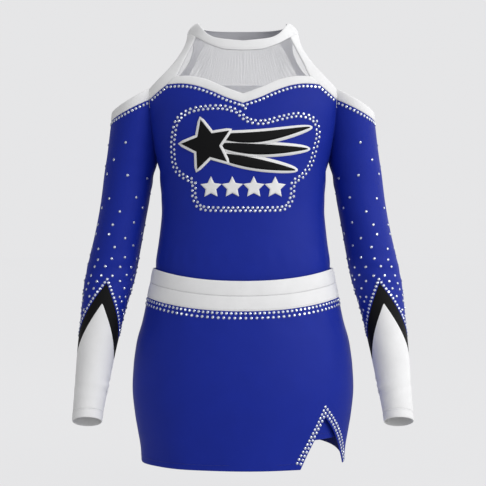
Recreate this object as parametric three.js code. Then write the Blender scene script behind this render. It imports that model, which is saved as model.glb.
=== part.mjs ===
// A two-piece cheer uniform for a child of about 140 cm: a long-sleeved cold-shoulder top and a
// skirt with built-in shorts. Every sewn piece is its own thin closed shell.
//
// Millimetres, +Z up. The front faces -Y and +X is the wearer's left. The origin is on the axis
// of the torso, level with the skirt's hem.
//
// The garment is drafted on three stacks of level, slightly squared ellipses (torso, skirt and
// sleeve). A place on a stack is an angle in degrees (0 in front, 90 towards +X) and a height.
import * as THREE from 'three';

// ---- cloth and seams ----
const CLOTH = 1.2; // a panel's thickness
const BAND = 1.8; // a folded binding's thickness, on both faces of the panel
const PROUD = 0.5; // how far a binding or a trim stands over the panel
const TRIM = 0.8; // a tape of stones
const CLEAR = 0.9; // how far a tape stands over a panel that curves under it
const SEAM = 0.35; // the gap that a seam is drawn with
const SIDE_SEAM = 0.29; // what each half of the bodice gives up along its side seam
const NET_CLOTH = 0.84; // the yoke's net
const ELASTIC_CLOTH = 1; // an elastic's thickness
const LAYER = 1.2; // the room between a lining piece and the cloth outside it
const DEGREE = Math.PI / 180;

// ---- heights on the torso ----
const HEM = 0;
const BACK_LIFT = 20; // how much higher the hem is in the middle of the back
const TOP_HEM = 195; // the top's own hem, tucked into the skirt
const BAND_DEPTH = 20; // each half of the waistband
const WAIST_TOP = 267; // the waistband's top edge at the sides
const WAIST_DIP = 16; // how much lower the waistband is in front
const NECK_TOP = 608;
const NECK_SIDE_LOW = 594;

// ---- the armhole and the shoulder band ----
const BAND_TOP_OUT = 484; // the band's top edge at the outside of the arm
const BAND_LOW_OUT = 472;
const BAND_OUT_X = 183;
const BAND_TOP_SLOPE = 0.53; // how the band climbs towards the neck
const BAND_LOW_SLOPE = 0.475;

// ---- the neckline ----
const YOKE_TOP_X = 65; // where the binding leaves the neckband, and its height there
const YOKE_TOP_Z = 584;
const YOKE_LOW_X = 91; // where the binding meets the sweetheart band
const YOKE_LOW_Z = 528;
const BACK_TOP_X = 53; // the same three places on the back
const BACK_TOP_Z = 591;
const BACK_LOW_X = 85;
const BACK_BAND_TOP = 531;
const BACK_BAND_LOW = 516;
const PEAK_X = 103.5; // the top of the bodice's heart shape
const PEAK_Z = 517;
const YOKE_EASE = 0.995; // a yoke piece's width as a share of its opening, clear of the bindings
const BINDING_DROP = 1.4; // how far under the neckband a binding starts

// ---- the emblem's ground, and where its stones run ----
const RIBBON = { z: 428, reach: 76, rise: 17, bow: 6, half: 12, ends: 4, backing: 3 };
const BAR = { half: 51, low: 364, high: 393 };
const OUTLINE = { x: 2, z: 413, half: 91, tall: 60, width: 6, power: 0.6 };

// ---- tapes of stones: how far their edges lie from the edge that they follow ----
const NECK_ROW = { below: 2.2, width: 4 };
const BAND_ROW = { far: 6.2, near: 2.2 };
const CHEVRON_ROW = { near: 2.2, far: 7.2 };
const WAIST_ROWS = { below: 1.5, width: 10 };
const NOTCH_ROWS = { near: 1.2, far: 5.6, rise: 4, farRise: 19, foot: 2 };

// ---- the sleeve ----
const CUFF_Z = 60.5; // the middle of the cuff's mouth
const CUFF_DEPTH = 11;
const CUFF_TILT = 0.4; // the mouth is cut square to a forearm that leans forward
const CHEVRON_APEX = 247;
const CHEVRON_LOW = 168;
const FOREARM_APEX = 220;
const FOREARM_LOW = 141;

// ---- the skirt's notch and its shorts ----
const NOTCH = { left: 30, apex: 44.5, right: 74, height: 68 };
const SHORTS_IN = 6; // the shorts lie this far inside the skirt
const SHORTS_TOP = 222;
const SHORTS_HEM = 37;
const INSEAM_HALF = 13; // half the gap between the two legs
const CROTCH_Z = 58;

/** A smooth curve through [at, value] points, level beyond both ends. */
function profile(points) {
  const slopes = points.map((_, i) => {
    const [a, b] = [points[Math.max(i - 1, 0)], points[Math.min(i + 1, points.length - 1)]];
    return (b[1] - a[1]) / (b[0] - a[0]);
  });
  return (at) => {
    if (at <= points[0][0]) return points[0][1];
    const i = points.findIndex((p) => p[0] >= at);
    if (i < 0) return points[points.length - 1][1];
    const [[x0, y0], [x1, y1]] = [points[i - 1], points[i]];
    const [h, t] = [x1 - x0, (at - x0) / (x1 - x0)];
    const [t2, t3] = [t * t, t * t * t];
    return (2 * t3 - 3 * t2 + 1) * y0 + (t3 - 2 * t2 + t) * h * slopes[i - 1]
      + (3 * t2 - 2 * t3) * y1 + (t3 - t2) * h * slopes[i];
  };
}

/** A stack of level superellipses as a function of (angle, height). */
function stack({ half, front, back, squareness, centreX = () => 0, centreY = () => 0 }) {
  const power = 2 / squareness;
  const bend = (v) => Math.sign(v) * Math.abs(v) ** power;
  const surface = (angle, z) => {
    const c = Math.cos(angle * DEGREE);
    return new THREE.Vector3(
      centreX(z) + half(z) * bend(Math.sin(angle * DEGREE)),
      centreY(z) - (c > 0 ? front(z) : back(z)) * bend(c),
      z,
    );
  };
  /** The angle, between -90 and 90, at which the stack reaches x at height z. */
  surface.angleAt = (x, z) => {
    const share = Math.min(Math.abs(x) / half(z), 1) ** (squareness / 2);
    return Math.sign(x) * Math.asin(share) / DEGREE;
  };
  surface.half = half;
  return surface;
}

const torso = stack({
  half: profile([
    [195, 120.5], [267, 121.8], [279, 121.6], [300, 118.3], [323, 115.5], [345, 113.6],
    [370, 114.4], [401, 116.3], [418, 120], [440, 126], [470, 134], [500, 142], [520, 145],
    [532, 141], [545, 128], [556, 113], [567, 100], [580, 87], [590, 79.5], [598, 75],
    [604, 69.5], [608, 62],
  ]),
  front: profile([
    [195, 79], [267, 80], [345, 77], [400, 80], [440, 82], [480, 80], [510, 74], [530, 68],
    [550, 62], [575, 55], [595, 51], [608, 48],
  ]),
  back: profile([
    [195, 80], [267, 79], [345, 73], [400, 76], [440, 78], [480, 77], [510, 73], [530, 69],
    [550, 65], [575, 60], [595, 56], [608, 53],
  ]),
  squareness: 2.25,
});

const skirtHalf = profile([
  [0, 141.5], [20, 142.8], [45, 147.2], [65, 150.6], [98, 154], [132, 152.6], [155, 149.8],
  [170, 147], [188, 141.8], [200, 138.9], [211, 136.6], [228, 133.4], [247, 129.3], [268, 125.4],
]);
const skirt = stack({
  half: skirtHalf,
  front: profile([[0, 101], [98, 104], [170, 98], [228, 89], [250, 85.5], [268, 83.8]]),
  back: profile([[0, 104], [98, 110], [170, 104], [228, 90], [268, 82.8]]),
  squareness: 2.25,
});

const armOuter = profile([
  [50, 231], [74, 230.5], [112, 229], [145, 228.3], [169, 227.5], [222, 224], [244, 221.8],
  [267, 218], [311, 208.6], [356, 200.3], [401, 194], [424, 190.4], [457, 186.5], [484, 183.4],
  [515, 181],
]);
const armInner = profile([
  [50, 191], [74, 188.8], [112, 182.7], [145, 177], [169, 172], [200, 165], [222, 159.4],
  [244, 153.4], [267, 148.6], [311, 140.6], [356, 132.2], [379, 128.6], [401, 124.6],
  [418, 120.3], [457, 115], [484, 112], [515, 109],
]);
const armDepth = profile([
  [50, 21.6], [112, 25], [169, 31], [222, 36], [267, 38], [356, 38], [430, 41], [484, 44],
  [515, 44],
]);
const arm = stack({
  half: (z) => (armOuter(z) - armInner(z)) / 2,
  front: armDepth,
  back: armDepth,
  squareness: 2,
  centreX: (z) => (armOuter(z) + armInner(z)) / 2,
  centreY: profile([
    [50, -66], [112, -42], [169, -22], [222, -7], [267, 3], [356, 8], [430, 6], [515, 0],
  ]),
});

/** The value in [low, high] at which a rising test turns positive. */
function bisect(low, high, test) {
  let [a, b] = [low, high];
  for (let i = 0; i < 40; i += 1) {
    const middle = (a + b) / 2;
    if (test(middle) > 0) b = middle;
    else a = middle;
  }
  return (a + b) / 2;
}

const ARMPIT = bisect(400, 440, (z) => torso.half(z) - armInner(z));

/** Where the arm's stack meets the torso's at height z: both angles, on the front or the back. */
function armhole(z, behind) {
  if (z <= ARMPIT) return { torso: 90, arm: behind ? 270 : -90 };
  const inArm = (angle) => {
    const p = torso(angle, z);
    const middle = arm(90, z).add(arm(-90, z)).multiplyScalar(0.5);
    return 1 - Math.hypot((p.x - middle.x) / arm.half(z), (p.y - middle.y) / armDepth(z));
  };
  const angle = behind
    ? 180 - bisect(20, 90, (a) => inArm(180 - a))
    : bisect(20, 90, inArm);
  const p = torso(angle, z);
  const middle = arm(90, z).add(arm(-90, z)).multiplyScalar(0.5);
  const side = Math.atan2((p.x - middle.x) / arm.half(z), (middle.y - p.y) / armDepth(z));
  return { torso: angle, arm: side / DEGREE + (behind ? 360 : 0) };
}

const bandTop = (x) => BAND_TOP_OUT + BAND_TOP_SLOPE * (BAND_OUT_X - x);
const bandLow = (x) => BAND_LOW_OUT + BAND_LOW_SLOPE * (BAND_OUT_X - x);

/** The height at which the armhole seam reaches an edge that depends on x. */
const seamEnd = (edge) => bisect(ARMPIT + 20, 530, (z) => z - edge(torso(armhole(z).torso, z).x));
const SEAM_TOP = seamEnd(bandTop);
const SEAM_LOW = seamEnd(bandLow);
const seamX = (z, behind) => torso(armhole(z, behind).torso, z).x;

// ---- building thin shells ----

/** A point of the surface, moved outwards along its normal. */
function lift(surface, [angle, z], offset) {
  const [turn, rise] = [0.05, 0.05];
  const across = surface(angle + turn, z).sub(surface(angle - turn, z));
  const up = surface(angle, z + rise).sub(surface(angle, z - rise));
  return surface(angle, z).add(across.cross(up).setLength(offset));
}

/** A closed shell over the grid of (column, row) shares that place() maps onto the surface. */
function shell(surface, place, columns, rows, outer, inner, closed = false) {
  const positions = [];
  for (const offset of [outer, inner]) {
    for (const row of rows) {
      for (const column of columns) positions.push(...lift(surface, place(column, row), offset));
    }
  }
  const [wide, layer] = [columns.length, columns.length * rows.length];
  const index = [];
  const quad = (a, b, c, d) => index.push(a, b, c, a, c, d);
  const at = (column, row) => row * wide + (column % wide);
  const last = closed ? wide : wide - 1;
  for (let row = 0; row + 1 < rows.length; row += 1) {
    for (let i = 0; i < last; i += 1) {
      const [a, b, c, d] = [at(i, row), at(i + 1, row), at(i + 1, row + 1), at(i, row + 1)];
      quad(a, b, c, d);
      quad(layer + a, layer + d, layer + c, layer + b);
    }
  }
  const rim = (a, b) => quad(a, layer + a, layer + b, b);
  for (let i = 0; i < last; i += 1) {
    rim(at(i, 0), at(i + 1, 0));
    rim(at(i + 1, rows.length - 1), at(i, rows.length - 1));
  }
  for (let row = 0; row + 1 < rows.length && !closed; row += 1) {
    rim(at(0, row + 1), at(0, row));
    rim(at(wide - 1, row), at(wide - 1, row + 1));
  }
  return solid(positions, index);
}

function solid(positions, index) {
  const geometry = new THREE.BufferGeometry();
  geometry.setAttribute('position', new THREE.Float32BufferAttribute(positions, 3));
  geometry.setIndex(index);
  return geometry;
}

/** The same piece for the wearer's other side. */
function mirrored(geometry) {
  const copy = geometry.clone().scale(-1, 1, 1);
  const index = [...copy.index.array];
  for (let i = 0; i < index.length; i += 3) [index[i + 1], index[i + 2]] = [index[i + 2], index[i + 1]];
  return copy.setIndex(index);
}

const mix = (a, b, share) => a + (b - a) * share;
const steps = (count, from = 0, to = 1) =>
  Array.from({ length: count + 1 }, (_, i) => mix(from, to, i / count));
const ringSteps = (count) => steps(count).slice(0, -1);
const TURN = 32; // columns round the torso and the skirt
const HALF_TURN = steps(TURN / 2, -1, 1);

// ---- colours ----
const paint = (color, roughness) => new THREE.MeshStandardMaterial({ color, roughness, metalness: 0 });
const ROYAL = paint(0x25339a, 0.5);
const WHITE = paint(0xf2f2f0, 0.55);
const BLACK = paint(0x101012, 0.5);
const NET = paint(0xcfcfd2, 0.7);
const ELASTIC = paint(0xdcdcd8, 0.8);
const STONE = paint(0xd9dde6, 0.15);

const group = new THREE.Group();

function add(name, geometry, material) {
  const mesh = new THREE.Mesh(geometry, material);
  mesh.name = name;
  group.add(mesh);
}

function addPair(name, geometry, material) {
  add(`${name}_left`, geometry, material);
  add(`${name}_right`, mirrored(geometry), material);
}

// ---- the torso's edges, as heights over x or over the angle ----
const sweetLow = profile([
  [0, 489.2], [22, 496.8], [43, 506.4], [63, 513.7], [82, 517.2], [PEAK_X, PEAK_Z],
]);
const sweetTop = profile([
  [0, 502], [29, 513], [51, 523], [74, 527.6], [YOKE_LOW_X, YOKE_LOW_Z],
]);
const neckFront = profile([[0, 576.5], [23, 581.5], [35, 588], [48, 598], [62, 604.5], [90, NECK_TOP]]);
const neckFrontLow = profile([[0, 563], [12, 564.8], [23, 570.5], [49, YOKE_TOP_Z], [90, NECK_SIDE_LOW]]);
const neckBack = profile([[0, 606.3], [60, 606.6], [90, NECK_TOP]]);
const neckBackLow = profile([[0, 592], [50, BACK_TOP_Z], [90, NECK_SIDE_LOW]]);

/** The height of the neckband's edge at an angle, from its front profile or its back one. */
function neckEdge(front, back, angle) {
  const turned = Math.abs(((angle + 540) % 360) - 180);
  return turned <= 90 ? front(turned) : back(180 - turned);
}

/** The height of the bodice's top edge at a distance x from the middle. */
function bodiceEdge(x, behind) {
  const peak = behind ? BACK_BAND_LOW : PEAK_Z;
  if (x > PEAK_X) return mix(peak, SEAM_LOW, (x - PEAK_X) / (seamX(SEAM_LOW, behind) - PEAK_X));
  return behind ? BACK_BAND_LOW : sweetLow(x);
}

/** Heights that the bodice and the sleeve share along the armhole seam. */
const seamLevels = [0, 0.06, 0.2, 0.42, 0.7, 1].map((s) => mix(ARMPIT, SEAM_LOW, s));
const bodiceLevels = [195, 231, 267, 295, 325, 360, 395, ...seamLevels];

/** Half of the torso's cloth: its side edge is the side seam and then the armhole seam. */
function bodicePanel(behind) {
  const rows = bodiceLevels.map((z) => (z - TOP_HEM) / (SEAM_LOW - TOP_HEM));
  const side = (z) => {
    const angle = armhole(z, behind).torso;
    return (behind ? 180 - angle : angle) - SIDE_SEAM / torso.half(z) / DEGREE;
  };
  const edgeOver = (across) => {
    let z = PEAK_Z;
    for (let i = 0; i < 12; i += 1) z = bodiceEdge(Math.abs(torso(across * side(z), z).x), behind);
    return z;
  };
  const peakZ = behind ? BACK_BAND_LOW : PEAK_Z;
  const peak = torso.angleAt(PEAK_X, peakZ) / side(peakZ);
  const half = [...steps(6, 0, peak), ...steps(2, peak, 1).slice(1)];
  const columns = [...half.slice(1).map((s) => -s).reverse(), ...half];
  const tops = new Map(columns.map((across) => [across, edgeOver(across) - SEAM]));
  const place = (across, up) => {
    const z = mix(TOP_HEM, tops.get(across), up);
    const angle = across * side(z);
    return [behind ? 180 + angle : angle, z];
  };
  return shell(torso, place, columns, rows, 0, -CLOTH);
}

/** Cloth between two edges that are given as [x, z] for a share from -1 to 1. */
function betweenEdges(low, high, behind, columns, rows, outer, inner) {
  const place = (across, up) => {
    const [lowX, lowZ] = low(across);
    const [highX, highZ] = high(across);
    const z = mix(lowZ, highZ, up);
    const angle = torso.angleAt(mix(lowX, highX, up), z);
    return [behind ? 180 + angle : angle, z];
  };
  return shell(torso, place, columns, rows, outer, inner);
}

function yoke(behind) {
  const low = (s) => {
    const x = s * (behind ? BACK_LOW_X : YOKE_LOW_X) * YOKE_EASE;
    return [x, (behind ? BACK_BAND_TOP : sweetTop(Math.abs(x))) + SEAM];
  };
  const high = (s) => {
    const x = s * (behind ? BACK_TOP_X : YOKE_TOP_X) * YOKE_EASE;
    const edge = behind ? neckBackLow : neckFrontLow;
    const z = edge(torso.angleAt(Math.abs(x), behind ? BACK_TOP_Z : mix(565, YOKE_TOP_Z, s * s)));
    return [x, z - SEAM];
  };
  return betweenEdges(low, high, behind, steps(12, -1, 1), steps(5), 0, -NET_CLOTH);
}

/** The white band under the yoke: a sweetheart in front, level behind. */
function yokeBand(behind) {
  const low = (s) => {
    const x = s * PEAK_X * YOKE_EASE;
    return [x, (behind ? BACK_BAND_LOW : sweetLow(Math.abs(x))) + SEAM];
  };
  const high = (s) => {
    const x = s * (behind ? BACK_LOW_X : YOKE_LOW_X) * YOKE_EASE;
    return [x, behind ? BACK_BAND_TOP : sweetTop(Math.abs(x))];
  };
  return betweenEdges(low, high, behind, HALF_TURN, steps(1), PROUD, -BAND);
}

/** The binding of the wearer's left, from the neckband down to the armhole seam. */
function binding(behind) {
  const tip = (z) => [seamX(z, behind) - SEAM * 3, z + SEAM * 2];
  const upper = behind
    ? [[BACK_TOP_X, BACK_TOP_Z - BINDING_DROP], [BACK_LOW_X, BACK_BAND_TOP], [PEAK_X, BACK_BAND_LOW]]
    : [[YOKE_TOP_X, YOKE_TOP_Z - BINDING_DROP], [YOKE_LOW_X, YOKE_LOW_Z], [PEAK_X, PEAK_Z]];
  const corners = [...upper, tip(SEAM_LOW)];
  const part = (i, share) => corners[i].map((value, k) => mix(value, corners[i + 1][k], share));
  const inside = [part(0, 0), part(0, 0.33), part(0, 0.67), part(1, 0), part(1, 0.5), part(2, 0),
    part(2, 0.5), part(2, 1)];
  const outside = behind
    ? [[73.2, 590.3], [71, 580], [79, 560], [93, 542], [104, 532], [113, 524.5], [121, 518], tip(SEAM_TOP)]
    : [[76.2, 589], [80, 574], [90, 555], [103, 538], [110, 530.5], [117, 524], [123, 518], tip(SEAM_TOP)];
  const place = (along, across) => {
    const i = Math.round(along * (inside.length - 1));
    const inner = along === 0 ? 0.4 : 0.6;
    const x = mix(inside[i][0] + inner, outside[i][0], across);
    const z = mix(inside[i][1], outside[i][1], across);
    const angle = torso.angleAt(x, z);
    return behind ? [180 - angle, z] : [angle, z];
  };
  const along = behind ? steps(7).reverse() : steps(7);
  return shell(torso, place, along, steps(1), PROUD, -BAND);
}

function neckband() {
  const place = (round, up) => {
    const angle = round * 360;
    const low = neckEdge(neckFrontLow, neckBackLow, angle) + SEAM;
    return [angle, mix(low, neckEdge(neckFront, neckBack, angle), up)];
  };
  return shell(torso, place, ringSteps(TURN), steps(2), PROUD, -BAND, true);
}

/** A strip of tape that follows the bodice's top edge, a little below it. */
function necklineTape() {
  const { below, width } = NECK_ROW;
  const reach = seamX(SEAM_LOW) - 3;
  const place = (across, up) => {
    const x = across * reach;
    const z = bodiceEdge(Math.abs(x), false) - below - width * (1 - up);
    return [torso.angleAt(x, z), z];
  };
  return shell(torso, place, steps(TURN, -1, 1), steps(1), PROUD + TRIM, PROUD);
}

// ---- the emblem's ground: a ribbon with a paler backing, over a bar, inside a line of stones ----
const emblemPlace = (x, z) => [torso.angleAt(x, z), z];

/** A ribbon that sweeps up across the chest, thick in the middle and thin at both ends. */
function ribbon(grow, outer) {
  const place = (along, up) => {
    const middle = RIBBON.z + RIBBON.rise * Math.sin(along * 1.5) - RIBBON.bow * Math.cos(along * 3);
    const half = grow + RIBBON.ends + RIBBON.half * Math.cos(along * 1.45);
    return emblemPlace(along * (RIBBON.reach + grow), middle + mix(-half, half, up));
  };
  return shell(torso, place, steps(20, -1, 1), steps(3), outer, outer - TRIM);
}

function bar() {
  const place = (along, up) => emblemPlace(along * BAR.half, mix(BAR.low, BAR.high, up));
  return shell(torso, place, steps(12, -1, 1), steps(2), PROUD + TRIM, PROUD);
}

/** The closed tape of stones round the emblem. */
function emblemTape() {
  const place = (round, across) => {
    const turn = -round * 2 * Math.PI;
    const [c, s] = [Math.cos(turn), Math.sin(turn)];
    const grow = OUTLINE.width * across;
    const x = OUTLINE.x + (OUTLINE.half + grow) * Math.sign(c) * Math.abs(c) ** OUTLINE.power;
    const z = OUTLINE.z + (OUTLINE.tall + grow) * Math.sign(s) * Math.abs(s) ** OUTLINE.power;
    return emblemPlace(x, z);
  };
  return shell(torso, place, ringSteps(48), steps(1), CLEAR + TRIM, CLEAR, true);
}

// ---- sleeves ----
const fold = (angle) => Math.abs(((angle + 450) % 180) - 90) / 90; // 0 in front and behind, 1 at the sides
const chevronDrop = (angle) => 1 - (1 - fold(angle)) ** 1.15;
const chevronTop = (angle) => mix(CHEVRON_APEX, CHEVRON_LOW, chevronDrop(angle));
const forearmTop = (angle) => mix(FOREARM_APEX, FOREARM_LOW, chevronDrop(angle));

/** The plane across the forearm at a height along its middle. */
const squareCut = (middle, angle) => middle + CUFF_TILT * armDepth(middle) * Math.cos(angle * DEGREE);

/** Cloth round the arm between two edges, open along the underarm seam and the armhole. */
function sleevePanel(lowEdge, highEdge, rows, outer, inner) {
  const from = (z) => armhole(z, false).arm + SEAM / arm.half(z) / DEGREE;
  const to = (z) => armhole(z, true).arm - SEAM / arm.half(z) / DEGREE;
  const angleAt = (round, z) => mix(from(z), to(z), round);
  const settle = (edge, round) => {
    let z = 400;
    for (let i = 0; i < 25; i += 1) z = mix(z, edge(angleAt(round, z), z), 0.7);
    return z;
  };
  const place = (round, up) => {
    const z = mix(settle(lowEdge, round), settle(highEdge, round), up);
    return [angleAt(round, z), z];
  };
  return shell(arm, place, steps(20), rows, outer, inner);
}

const overBand = (edge) => (angle, z) => edge(arm(angle, z).x);
const shifted = (edge, by) => (angle, z) => edge(angle, z) + by;

function sleeves() {
  const blueLevels = [CHEVRON_LOW, 215, 260, 310, 360, 395, ...seamLevels];
  const blueRows = blueLevels.map((z) => (z - CHEVRON_LOW) / (SEAM_LOW - CHEVRON_LOW));
  const lowBand = overBand(bandLow);
  const cuffEdge = (angle) => squareCut(CUFF_Z + CUFF_DEPTH, angle);
  const mouth = (angle) => squareCut(CUFF_Z, angle);
  const panel = (low, high, rows) => sleevePanel(low, high, rows, 0, -CLOTH);
  addPair('sleeve', panel(shifted(chevronTop, SEAM), shifted(lowBand, -SEAM), blueRows), ROYAL);
  addPair('sleeve_chevron', panel(shifted(forearmTop, SEAM), chevronTop, steps(2)), BLACK);
  addPair('sleeve_forearm', panel(shifted(cuffEdge, SEAM), forearmTop, steps(5)), WHITE);
  addPair('sleeve_cuff', panel(mouth, cuffEdge, steps(1)), WHITE);
  addPair('shoulder_band', sleevePanel(lowBand, overBand(bandTop), steps(1), PROUD, -BAND), WHITE);
  const elasticLow = shifted(lowBand, 3);
  const elasticTop = shifted(overBand(bandTop), -3);
  const behindBand = -BAND - SEAM;
  const elastic = sleevePanel(elasticLow, elasticTop, steps(1), behindBand, behindBand - ELASTIC_CLOTH);
  addPair('shoulder_elastic', elastic, ELASTIC);
  const tape = (low, high) => sleevePanel(low, high, steps(1), CLEAR + TRIM, CLEAR);
  const bandTape = tape(shifted(lowBand, -BAND_ROW.far), shifted(lowBand, -BAND_ROW.near));
  addPair('shoulder_stones', bandTape, STONE);
  const chevronTape = tape(shifted(chevronTop, CHEVRON_ROW.near), shifted(chevronTop, CHEVRON_ROW.far));
  addPair('chevron_stones', chevronTape, STONE);
}

// ---- the skirt ----
const waistDrop = (angle) => WAIST_DIP * Math.max(Math.cos(angle * DEGREE), 0) ** 2;

/** A ring of cloth that hangs from the waist, between two depths under its top edge. */
function waistRing(from, to, outer, inner) {
  const place = (round, up) => {
    const angle = round * 360;
    return [angle, WAIST_TOP - waistDrop(angle) - mix(to, from, up)];
  };
  return shell(skirt, place, ringSteps(TURN), steps(1), outer, inner, true);
}

/** The hem behind, which rises from the side seams to the middle of the back. */
const backHemAt = (angle) => HEM + BACK_LIFT * (1 - (Math.abs(angle) / 90) ** 2.5);

/** How much of its height the notch has lost at a share of the way from its apex to its right end. */
const notchFall = (share) => mix(share ** 4, share, 0.9);

/** The hem, which climbs to the notch's apex on the wearer's left. */
function hemAt(angle) {
  const { left, apex, right, height } = NOTCH;
  if (angle <= left || angle >= right) return HEM;
  if (angle <= apex) return height * ((angle - left) / (apex - left));
  return height * (1 - notchFall((angle - apex) / (right - apex)));
}

const SKIRT_TOP = WAIST_TOP - 2 * BAND_DEPTH - SEAM;

function skirtPanel(behind) {
  const side = 90 - SEAM / skirtHalf(100) / DEGREE;
  const angles = HALF_TURN.map((s) => s * side);
  if (!behind) {
    const { left, apex, right } = NOTCH;
    const onEdge = [mix(left, apex, 0.5), mix(apex, right, 0.2), mix(apex, right, 0.75)];
    angles.push(left, apex, right, ...onEdge, mix(right, 90, 0.5));
    angles.sort((a, b) => a - b);
  }
  const place = (angle, up) => {
    const low = behind ? backHemAt(angle) : hemAt(angle);
    const turned = behind ? 180 + angle : angle;
    return [turned, mix(low, SKIRT_TOP - waistDrop(turned), up)];
  };
  const columns = angles.filter((a, i) => i === 0 || a - angles[i - 1] > 1.2);
  return shell(skirt, place, columns, [0, 0.12, 0.28, 0.44, 0.6, 0.74, 0.87, 1], 0, -CLOTH);
}

/** The tape of stones that climbs one edge of the notch and comes down the other. */
function notchTape() {
  const { left, apex, right, height } = NOTCH;
  const place = (along, across) => {
    const out = mix(NOTCH_ROWS.near, NOTCH_ROWS.far, across);
    const peak = height + mix(NOTCH_ROWS.rise, NOTCH_ROWS.farRise, across);
    const { foot } = NOTCH_ROWS;
    if (along <= 0) return [mix(apex, left, -along) + out * along, mix(peak, foot, -along)];
    return [mix(apex, right, along) + out * along * 0.8, mix(peak, foot, notchFall(along))];
  };
  return shell(skirt, place, steps(24, -1, 1), steps(1), CLEAR + TRIM, CLEAR);
}

/** Front or back of the shorts; its lower edge lifts over the gap between the legs. */
function shortsPanel(behind) {
  const side = 90 - SEAM / skirtHalf(100) / DEGREE;
  const inseam = skirt.angleAt(INSEAM_HALF, SHORTS_HEM);
  const angles = [...HALF_TURN.map((s) => s * side), -inseam, inseam].sort((a, b) => a - b);
  const place = (angle, up) => {
    const low = Math.abs(angle) < inseam - 0.1 ? CROTCH_Z : SHORTS_HEM;
    const turned = behind ? 180 + angle : angle;
    return [turned, mix(low, SHORTS_TOP - waistDrop(turned), up)];
  };
  return shell(skirt, place, angles, steps(5), -SHORTS_IN, -SHORTS_IN - CLOTH);
}

/** The gusset: an arch between the legs that joins the front of the shorts to the back. */
function gusset() {
  const room = SHORTS_IN + CLOTH + SEAM + 0.6;
  const [from, to] = [skirt(0, SHORTS_HEM).y + room, skirt(180, SHORTS_HEM).y - room];
  const arch = (half, top) => [
    new THREE.Vector2(half, SHORTS_HEM + 1),
    ...steps(8, 0, Math.PI).map(
      (a) => new THREE.Vector2(half * Math.cos(a), top - half + half * Math.sin(a)),
    ),
    new THREE.Vector2(-half, SHORTS_HEM + 1),
  ];
  const outline = [...arch(INSEAM_HALF, CROTCH_Z), ...arch(INSEAM_HALF - CLOTH, CROTCH_Z - CLOTH).reverse()];
  const geometry = new THREE.ExtrudeGeometry(new THREE.Shape(outline), {
    depth: to - from, steps: 1, bevelEnabled: false,
  });
  geometry.rotateX(Math.PI / 2);
  return geometry.translate(0, to, 0);
}

/** The elastic in the hem of one leg, which lies against the inside of the shorts. */
function legElastic() {
  const inside = 1.5;
  const inseam = skirt.angleAt(INSEAM_HALF + 4, SHORTS_HEM);
  const place = (along, up) => [mix(inseam, 180 - inseam, along), mix(SHORTS_HEM + 1, SHORTS_HEM + 9, up)];
  const offset = -SHORTS_IN - CLOTH - inside;
  return shell(skirt, place, steps(TURN / 2), steps(1), offset, offset - ELASTIC_CLOTH);
}

// ---- the assembly ----
function top() {
  add('bodice_front', bodicePanel(false), ROYAL);
  add('bodice_back', bodicePanel(true), ROYAL);
  const hemPlace = (round, up) => [round * 360, mix(TOP_HEM + 2, TOP_HEM + 14, up)];
  const face = -CLOTH - LAYER;
  const hem = shell(torso, hemPlace, ringSteps(TURN), steps(1), face, face - ELASTIC_CLOTH, true);
  add('top_hem_elastic', hem, ELASTIC);
  add('yoke_front', yoke(false), NET);
  add('yoke_back', yoke(true), NET);
  add('sweetheart_band', yokeBand(false), WHITE);
  add('back_band', yokeBand(true), WHITE);
  add('neckband', neckband(), WHITE);
  addPair('front_binding', binding(false), WHITE);
  addPair('back_binding', binding(true), WHITE);
  add('neckline_stones', necklineTape(), STONE);
  add('emblem_backing', ribbon(3, PROUD + TRIM), WHITE);
  add('emblem_ribbon', ribbon(0, PROUD * 2 + TRIM * 2), BLACK);
  add('emblem_bar', bar(), WHITE);
  add('emblem_stones', emblemTape(), STONE);
}

function skirtPieces() {
  const band = (from, to) => waistRing(from, to, PROUD, -CLOTH);
  add('waistband_upper', band(0, BAND_DEPTH - SEAM), WHITE);
  add('waistband_lower', band(BAND_DEPTH, 2 * BAND_DEPTH - SEAM), WHITE);
  add('waist_elastic', waistRing(2, 2 * BAND_DEPTH - 4, -CLOTH - SEAM, -CLOTH - SEAM - 0.8), ELASTIC);
  add('skirt_front', skirtPanel(false), ROYAL);
  add('skirt_back', skirtPanel(true), ROYAL);
  const depth = 2 * BAND_DEPTH + WAIST_ROWS.below;
  const twoRows = waistRing(depth, depth + WAIST_ROWS.width, CLEAR + TRIM, CLEAR);
  add('waist_stones', twoRows, STONE);
  add('notch_stones', notchTape(), STONE);
  add('shorts_front', shortsPanel(false), ROYAL);
  add('shorts_back', shortsPanel(true), ROYAL);
  add('shorts_gusset', gusset(), ROYAL);
  addPair('leg_elastic', legElastic(), ELASTIC);
}

top();
sleeves();
skirtPieces();

export default group;
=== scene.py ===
"""A two-piece cheer uniform: a long-sleeved cold-shoulder top and a notched skirt with shorts.

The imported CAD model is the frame. The cloth is drafted in millimetres on the same three stacks
of level, slightly squared ellipses as the CAD pieces (torso, skirt and sleeve). A place on a
stack is an angle in degrees, 0 in front and 90 towards +X, and a height.
"""

import math
import random

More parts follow.
